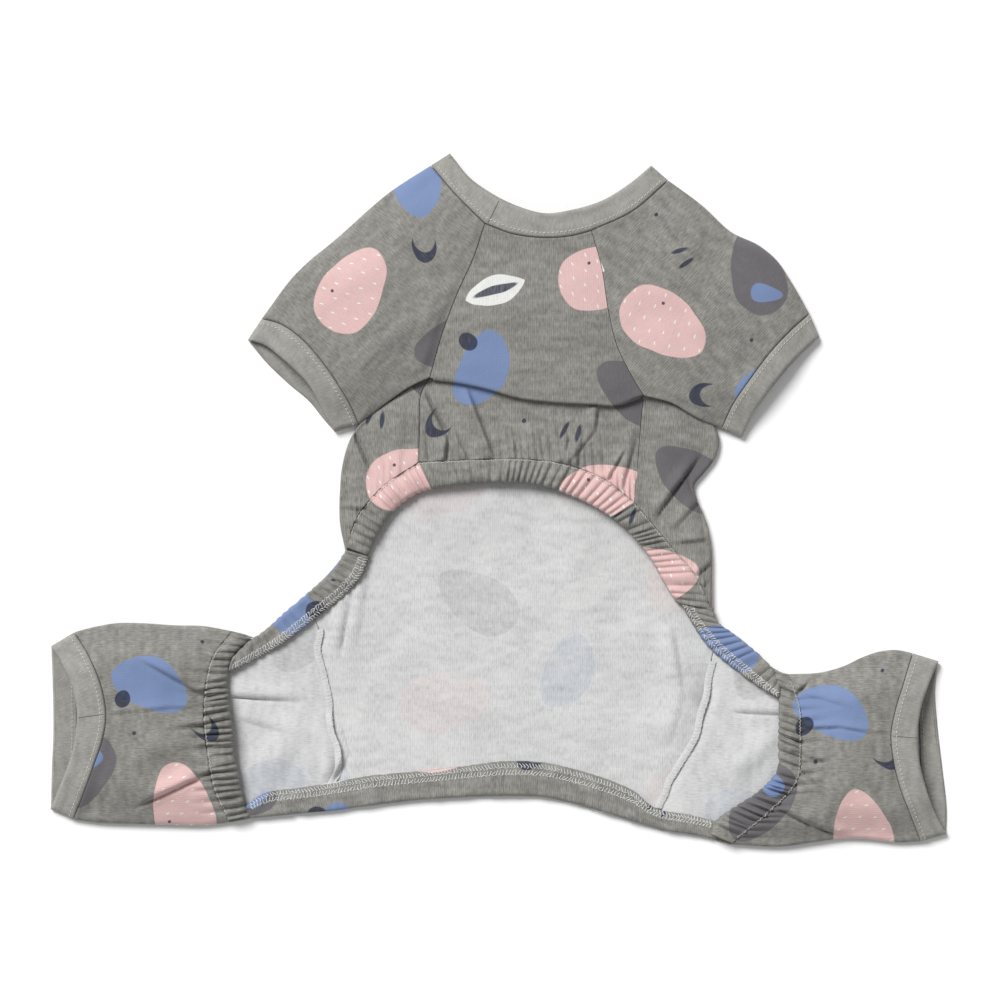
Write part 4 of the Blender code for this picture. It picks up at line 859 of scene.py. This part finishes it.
binding_layers = {}
places = even(ALONG_BINDING)
for kind, name in (("neck", ""), ("sleeve", "left"), ("sleeve", "right"), ("leg", "left"),
                   ("leg", "right")):
    if kind == "neck":
        seams = [spaced(neck_front_line, places)]
        seams.append(laid(seams[0][None], seams[0][:1, 2], seams[0][-1:, 2])[0])
        free_lines = [through(line, places) for line in NECK_EDGES]
        node = "neck_binding"
    else:
        rims = (sleeve_rims if kind == "sleeve" else leg_rims)[name]
        seams = [spaced(line, places) for line in rims]
        upper_free, lower_free = (BINDING_EDGES if kind == "sleeve" else LEG_EDGES)[name]
        free_lines = [crown(through(upper_free, places), CUFF_TOPS[kind], CUFF_REACH),
                      through(lower_free, places)]
        free_lines[1] = laid(free_lines[1][None], free_lines[1][:1, 2], free_lines[1][-1:, 2])[0]
        node = kind + "_binding_" + name
    layers = [binding_layer(seams[0], free_lines[0], True), binding_layer(seams[1], free_lines[1], False)]
    layers[1][:, 0], layers[1][:, -1] = layers[0][:, 0], layers[0][:, -1]
    binding_layers[node] = layers
    binding = sewn(node + "_rib",
                   [(layers[0], band_map(layers[0]), True), (layers[1], band_map(layers[1]), False)],
                   BINDING_WALL, [rib.material])
    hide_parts(node)

# Elastic hem: the jersey is turned in over a narrow elastic and held by zigzag stitches, so that it
# gathers into small puffs all round the belly opening and the inner mouths of the legs.
CASING_WALL = 0.0022
CASING_ROWS = 22

def puffed_band(seam_line, free_line, seed, puff, swell, both_free=False, pinched=1.0, start=0.0,
                pitch=GATHER_PITCH):
    """Gathered band: a low crown across it, puffs along it, and an edge that goes in and out."""
    run = start + run_of(seam_line)[None, :]
    out = even(CASING_ROWS)[:, None]
    band = seam_line[None] * (1 - out[..., None]) + free_line[None] * out[..., None]
    wide = np.linalg.norm(free_line - seam_line, axis=-1)[None, :]
    puffs = gathers(run + 0 * out, seed, pitch)
    inner_edge = quarter_round(out * wide, 0.0022) if both_free else 1.0
    rounding = quarter_round((1 - out) * wide, 0.0026) * inner_edge
    crown_share = np.sin(math.pi * out) if not both_free else 0.6
    band[..., 2] += (swell * (rounding - 1) + 0.0007 * crown_share
                     + puff * puffs * (0.55 + 0.45 * np.sin(math.pi * out * 0.9)) * rounding)
    band[..., 2] += 0.0006 * soft(run + 0 * out, out * 0.011 + 0 * run, 0.0050, seed + 9)
    band[..., 2] = np.maximum(band[..., 2], CASING_WALL + 0.0002)
    way = (free_line - seam_line) / np.maximum(wide.T, 1e-6)
    scallop = (puffs - 0.55) * 0.0007 * pinched
    band += way[None] * (scallop * out ** 3)[..., None]
    if both_free:
        band -= way[None] * (scallop * (1 - out) ** 3)[..., None]
    return band


CASING_TRIM, LEG_CASING_SHARE = 0.012, 0.966
PINCH_DEPTH = 0.0019
casing_bands = {}
ends = CASING_TRIM + (1 - 2 * CASING_TRIM) * even(430)
seam_line = spaced(joined(edge("casing_left", even(200)), edge("casing_front", even(300)),
                          edge("casing_right", even(200))), ends)
seam_line[:, 2] = np.maximum(seam_line[:, 2], 0.0052)
casing_start = CASING_TRIM * run_of(seam_line)[-1] / (1 - 2 * CASING_TRIM)
belly_seam_line = seam_line
casing_bands["belly_casing"] = puffed_band(seam_line, through(edges["belly_hem"], ends), 3, 0.0023, 0.0016,
                                           start=casing_start)
for name in ("left", "right"):
    ends = CASING_TRIM + LEG_CASING_SHARE * even(220)
    mouth_length = run_of(leg_mouths[name][0])[-1]
    seam_line, hem_line = (spaced(line, ends) for line in leg_mouths[name])
    seam_line[:, 2] -= PINCH_DEPTH * gathers(ends * mouth_length, 13, LEG_PITCH)
    casing_bands["leg_casing_" + name] = puffed_band(seam_line, hem_line, 13, 0.0034, 0.0016,
                                                     start=CASING_TRIM * mouth_length,
                                                     pitch=LEG_PITCH)

# Turned-in hems: on both hips and across the tail the casing is rolled to the inside, so the print
# shows on the roll and the overlocked edge of the cloth lies on its inner side.
HIP_LINES = {
    "left": ([(346, 550, 5.2), (333, 570, 5.4), (316, 586, 5.0), (300, 599.5, 4.6), (284, 613, 4.6),
              (264, 631, 4.8), (247, 643, 5.6), (233, 657, 6.6)],
             [(370, 557, 4.9), (362, 577, 4.8), (352, 589, 4.4), (325, 612, 4.0), (307, 626, 4.0),
              (286, 642, 4.0), (255, 660, 4.6), (230, 672, 6.6)]),
    "right": ([(713, 608, 5.6), (716, 620, 5.6), (730, 631, 4.8), (745, 643, 4.6), (762, 657, 5.0),
               (774, 672, 6.2), (780, 688, 7.4)],
              [(677, 598, 5.2), (688, 617, 4.6), (706, 644, 4.0), (730, 666, 4.0), (753, 683, 4.2),
               (766, 691, 5.6), (778, 697, 7.4)])}
TAIL_LINES = ([(247, 818.5, 4.6), (262, 817, 4.4), (304, 812.5, 4.4), (332, 810.5, 4.4), (379, 804, 4.4),
               (418, 799.5, 4.4), (466, 796.5, 4.4), (514, 795.5, 4.4), (543, 796.5, 4.4),
               (571, 802.5, 4.4), (610, 813.5, 4.4), (648, 825, 4.4), (668, 830, 4.4),
               (696, 835, 4.2), (716, 839, 3.4)],
              [(246, 805, 4.4), (262, 794, 3.8), (304, 787, 3.8), (332, 782, 3.8), (380, 774, 3.8),
               (418, 771, 3.8), (476, 764, 3.8), (504, 761, 3.8), (543, 762, 3.8), (571, 768, 3.8),
               (610, 780, 3.8), (634, 791, 3.8), (652, 806, 3.8), (692, 815, 3.8), (716, 821, 3.4)])
for name in ("left", "right"):
    outer, inner = (through(line, even(170)) for line in HIP_LINES[name])
    casing_bands["hip_casing_" + name] = puffed_band(outer, inner, 23, 0.0016, 0.0014, both_free=True)
outer, inner = (through(line, even(340)) for line in TAIL_LINES)
HEM_SHIFTS = {"hip_casing_left": (0.05, 0.262), "hip_casing_right": (0.31, 0.37),
              "tail_casing": (0.17, 0.009)}
casing_bands["tail_casing"] = puffed_band(outer, inner, 29, 0.0005, 0.0014, both_free=True, pinched=0.4)
for node, band in casing_bands.items():
    printed = node.startswith(("hip", "tail"))
    if printed:
        flat = band_map(band) + np.array(HEM_SHIFTS[node])
    elif node == "belly_casing":
        along = (casing_run("casing_left", 1.0), casing_run("casing_front", 1.0))
        place = (casing_start + run_of(belly_seam_line))[None, :, None]
        flat = np.where(place < along[0], cloth_map(band, 4, WRAP_SHIFT),
                        np.where(place < along[1], cloth_map(band, 0, BELLY_SHIFT),
                                 cloth_map(band, -4, WRAP_SHIFT)))
    else:
        flat = cloth_map(band, 90, LEG_SHIFTS[node.split("_")[-1]])
    casing = sewn(node + "_hem", [(band, flat, True)], CASING_WALL, [jersey.material])
    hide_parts(node)

# Threads: pale polyester thread in the binding seams, the zigzag of the elastic and the overlocked
# edges, each stitch a short rounded strand that lies in the cloth.
def thread_finish(name, grain, dark, light):
    """Thread whose shade varies along it with a fine noise."""
    thread = Dye(name, 0.7, 0.0)
    place = thread.add("TexCoord", {}, {}, out=3)
    shade = thread.add("TexNoise", {}, {"Vector": place, "Scale": grain, "Detail": 1.0})
    thread.feed(thread.shader.inputs["Base Color"], thread.blend(shade, dark, light))
    return thread.material


pale_thread = thread_finish("pale_thread", 900.0, (0.33, 0.32, 0.28, 1.0), (0.66, 0.65, 0.60, 1.0))
white_thread = thread_finish("white_thread", 700.0, (0.40, 0.40, 0.40, 1.0), (0.88, 0.88, 0.87, 1.0))


def strands(name, rows, finish):
    """One mesh of short strands, each a capsule of six sides along its own direction; a row is
    (centres, directions, ups, length, width)."""
    rings = np.array([(-1.0, 0.0), (-0.82, 0.65), (-0.35, 1.0), (0.35, 1.0), (0.82, 0.65), (1.0, 0.0)])
    turns = np.arange(6) * math.pi / 3
    points, start, faces = [], 0, []
    ring, spoke = np.meshgrid(np.arange(5), np.arange(6), indexing="ij")
    quads = np.stack([ring * 6 + spoke, ring * 6 + (spoke + 1) % 6, (ring + 1) * 6 + (spoke + 1) % 6,
                      (ring + 1) * 6 + spoke], axis=-1).reshape(-1, 4)
    for centres, ways, ups, length, width in rows:
        sides = np.cross(ways, ups)
        sides /= np.linalg.norm(sides, axis=-1, keepdims=True)
        body = (centres[:, None, None] + ways[:, None, None] * rings[None, :, None, :1] * length / 2
                + (sides[:, None, None] * np.cos(turns)[None, None, :, None]
                   + ups[:, None, None] * np.sin(turns)[None, None, :, None] * 0.8)
                * rings[None, :, None, 1:] * width / 2)
        points.append(body.reshape(-1, 3))
        faces.append((quads[None] + (np.arange(len(centres)) * 36 + start)[:, None, None]).reshape(-1, 4))
        start += len(centres) * 36
    mesh = bpy.data.meshes.new(name)
    mesh.from_pydata(np.concatenate(points).tolist(), [], np.concatenate(faces).tolist())
    mesh.shade_smooth()
    mesh.materials.append(finish)
    piece = bpy.data.objects.new(name, mesh)
    bpy.context.scene.collection.objects.link(piece)
    weld = piece.modifiers.new("closed ends", "WELD")
    weld.merge_threshold = 0.00001
    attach(piece, "root")
    return piece


def seam_row(grid, share, pitch, slant, length, width, lift=0.0001, ends=(0.0, 1.0), jitter=0.12, seed=5):
    """A row of stitches along a band at a share of its width: each turned from the row by the slant,
    which changes sides from stitch to stitch when it is given as a zigzag."""
    zigzag, angle = slant
    row = share * (len(grid) - 1)
    low = min(int(row), len(grid) - 2)
    line = grid[low] * (low + 1 - row) + grid[low + 1] * (row - low)
    across = grid[low + 1] - grid[low]
    run = run_of(line)
    count = max(2, int(run[-1] * (ends[1] - ends[0]) / pitch))
    shares = ends[0] + (ends[1] - ends[0]) * (np.arange(count) + 0.5) / count
    centres = spaced(line, shares)
    beside = np.stack([np.interp(shares * run[-1], run, across[:, axis]) for axis in range(3)], axis=-1)
    ways = np.gradient(centres, axis=0)
    ways /= np.linalg.norm(ways, axis=-1, keepdims=True)
    ups = np.cross(ways, beside)
    ups /= np.linalg.norm(ups, axis=-1, keepdims=True)
    ups *= np.sign(ups[:, 2:])
    draw = np.random.default_rng(seed)
    angles = np.radians(angle) * (np.where(np.arange(count) % 2, 1.0, -1.0) if zigzag else 1.0)
    angles = angles + draw.normal(0.0, jitter, count)
    beside = np.cross(ups, ways)
    turned = ways * np.cos(angles)[:, None] + beside * np.sin(angles)[:, None]
    lengths = length * draw.uniform(0.85, 1.12, count)[:, None, None, None]
    return centres + ups * lift, turned, ups, lengths, width


rows = []
for node, layers in binding_layers.items():
    rows.append(seam_row(layers[0], 0.17, 0.0021, (False, 14), 0.0017, 0.00058, ends=(0.02, 0.98)))
    rows.append(seam_row(layers[0], 0.12, 0.0021, (False, 14), 0.0008, 0.00035, ends=(0.025, 0.985),
                         seed=6))
    if node != "neck_binding":
        rows.append(seam_row(layers[1], 0.17, 0.0021, (False, 14), 0.0016, 0.00050,
                             lift=BINDING_WALL + 0.0001, ends=(0.10, 0.90)))
strands("binding_stitches", rows, pale_thread)

# Closing seams: each visible one is a dark line straight across its binding, drawn as near-black strands
# that are painted shadow, standing in for the shade in the groove of the seam.
painted_join_shade = Dye("join_shadow", 0.9, 0.0)
# Painted shadow: this near-black colour is the shade in the seam's groove, not the colour of a thread.
painted_join_shade.feed(painted_join_shade.shader.inputs["Base Color"], (0.075, 0.073, 0.066, 1.0))
rows = []
for node, corner in (("neck_binding", (486, 223, 0)), ("leg_binding_left", (108, 712, 0)),
                     ("leg_binding_right", (889, 734, 0))):
    upper = binding_layers[node][0]
    near = int(np.argmin(np.linalg.norm(upper[0, :, :2] - plan([corner])[0, :2], axis=-1)))
    across_band = upper[1:-1, near - 1:near + 2].transpose(1, 0, 2)
    rows.append(seam_row(across_band, 1.0, 0.0012, (False, 0), 0.0018, 0.00034, lift=0.0, jitter=0.04))
strands("binding_joins", rows, painted_join_shade.material)
rows = []
for node in ("belly_casing", "leg_casing_left", "leg_casing_right"):
    rows.append(seam_row(casing_bands[node], 0.06, 0.0011, (True, 42), 0.0015, 0.00038, ends=(0.03, 0.97)))
strands("elastic_stitches", rows, pale_thread)
rows = []
for node in ("hip_casing_left", "hip_casing_right", "tail_casing"):
    for share, slant, length in ((0.68, 64, 0.0030), (0.88, 118, 0.0026)):
        rows.append(seam_row(casing_bands[node], share, 0.0016, (False, slant), length, 0.00038,
                             ends=(0.01, 0.99), jitter=0.30, seed=int(share * 100)))
        rows.append(seam_row(casing_bands[node], share - 0.06, 0.0017, (True, 38), 0.0017, 0.00034,
                             ends=(0.01, 0.99), jitter=0.25, seed=int(share * 90)))
strands("hem_overlock", rows, white_thread)

# Thigh seams: the edges of the back panel and the seat are overlocked together, and the narrow
# ridge stands up on the inside of the garment.
RIDGE_WIDTH = 0.0035
rows = []
for name, ends in (("left", (0.16, 0.93)), ("right", (0.17, 0.90))):
    line = through(edges["thigh_" + name], ends[0] + (ends[1] - ends[0]) * even(150))
    way = np.gradient(line, axis=0)
    beside = np.stack([-way[:, 1], way[:, 0], 0 * way[:, 0]], axis=-1)
    beside /= np.linalg.norm(beside, axis=-1, keepdims=True)
    share = np.linspace(-1.0, 1.0, 12)[:, None, None]
    ridge = line[None] + beside[None] * share * RIDGE_WIDTH / 2
    wave = soft(run_of(line), run_of(line) * 0, 0.009, 31)[None, :]
    ridge += beside[None] * (wave * 0.0007)[..., None]
    ridge[..., 2] = (inside_lift(ridge) * 0.9 + JERSEY_WALL + 0.0003
                     + 0.0003 * (1 - share[..., 0] ** 2) + 0.0001 * wave)
    piece = sewn("thigh_seam_" + name, [(ridge, band_map(ridge), True)], 0.0007,
                 [wrong_side.material])
    for share, slant in ((0.32, 74), (0.70, 106)):
        rows.append(seam_row(ridge, share, 0.0017, (False, slant), 0.0020, 0.00030, lift=0.0, jitter=0.25,
                             seed=int(share * 100)))
    rows.append(seam_row(ridge, 0.93, 0.0016, (True, 30), 0.0018, 0.00030, lift=0.0, jitter=0.2, seed=3))
strands("thigh_overlock", rows, white_thread)
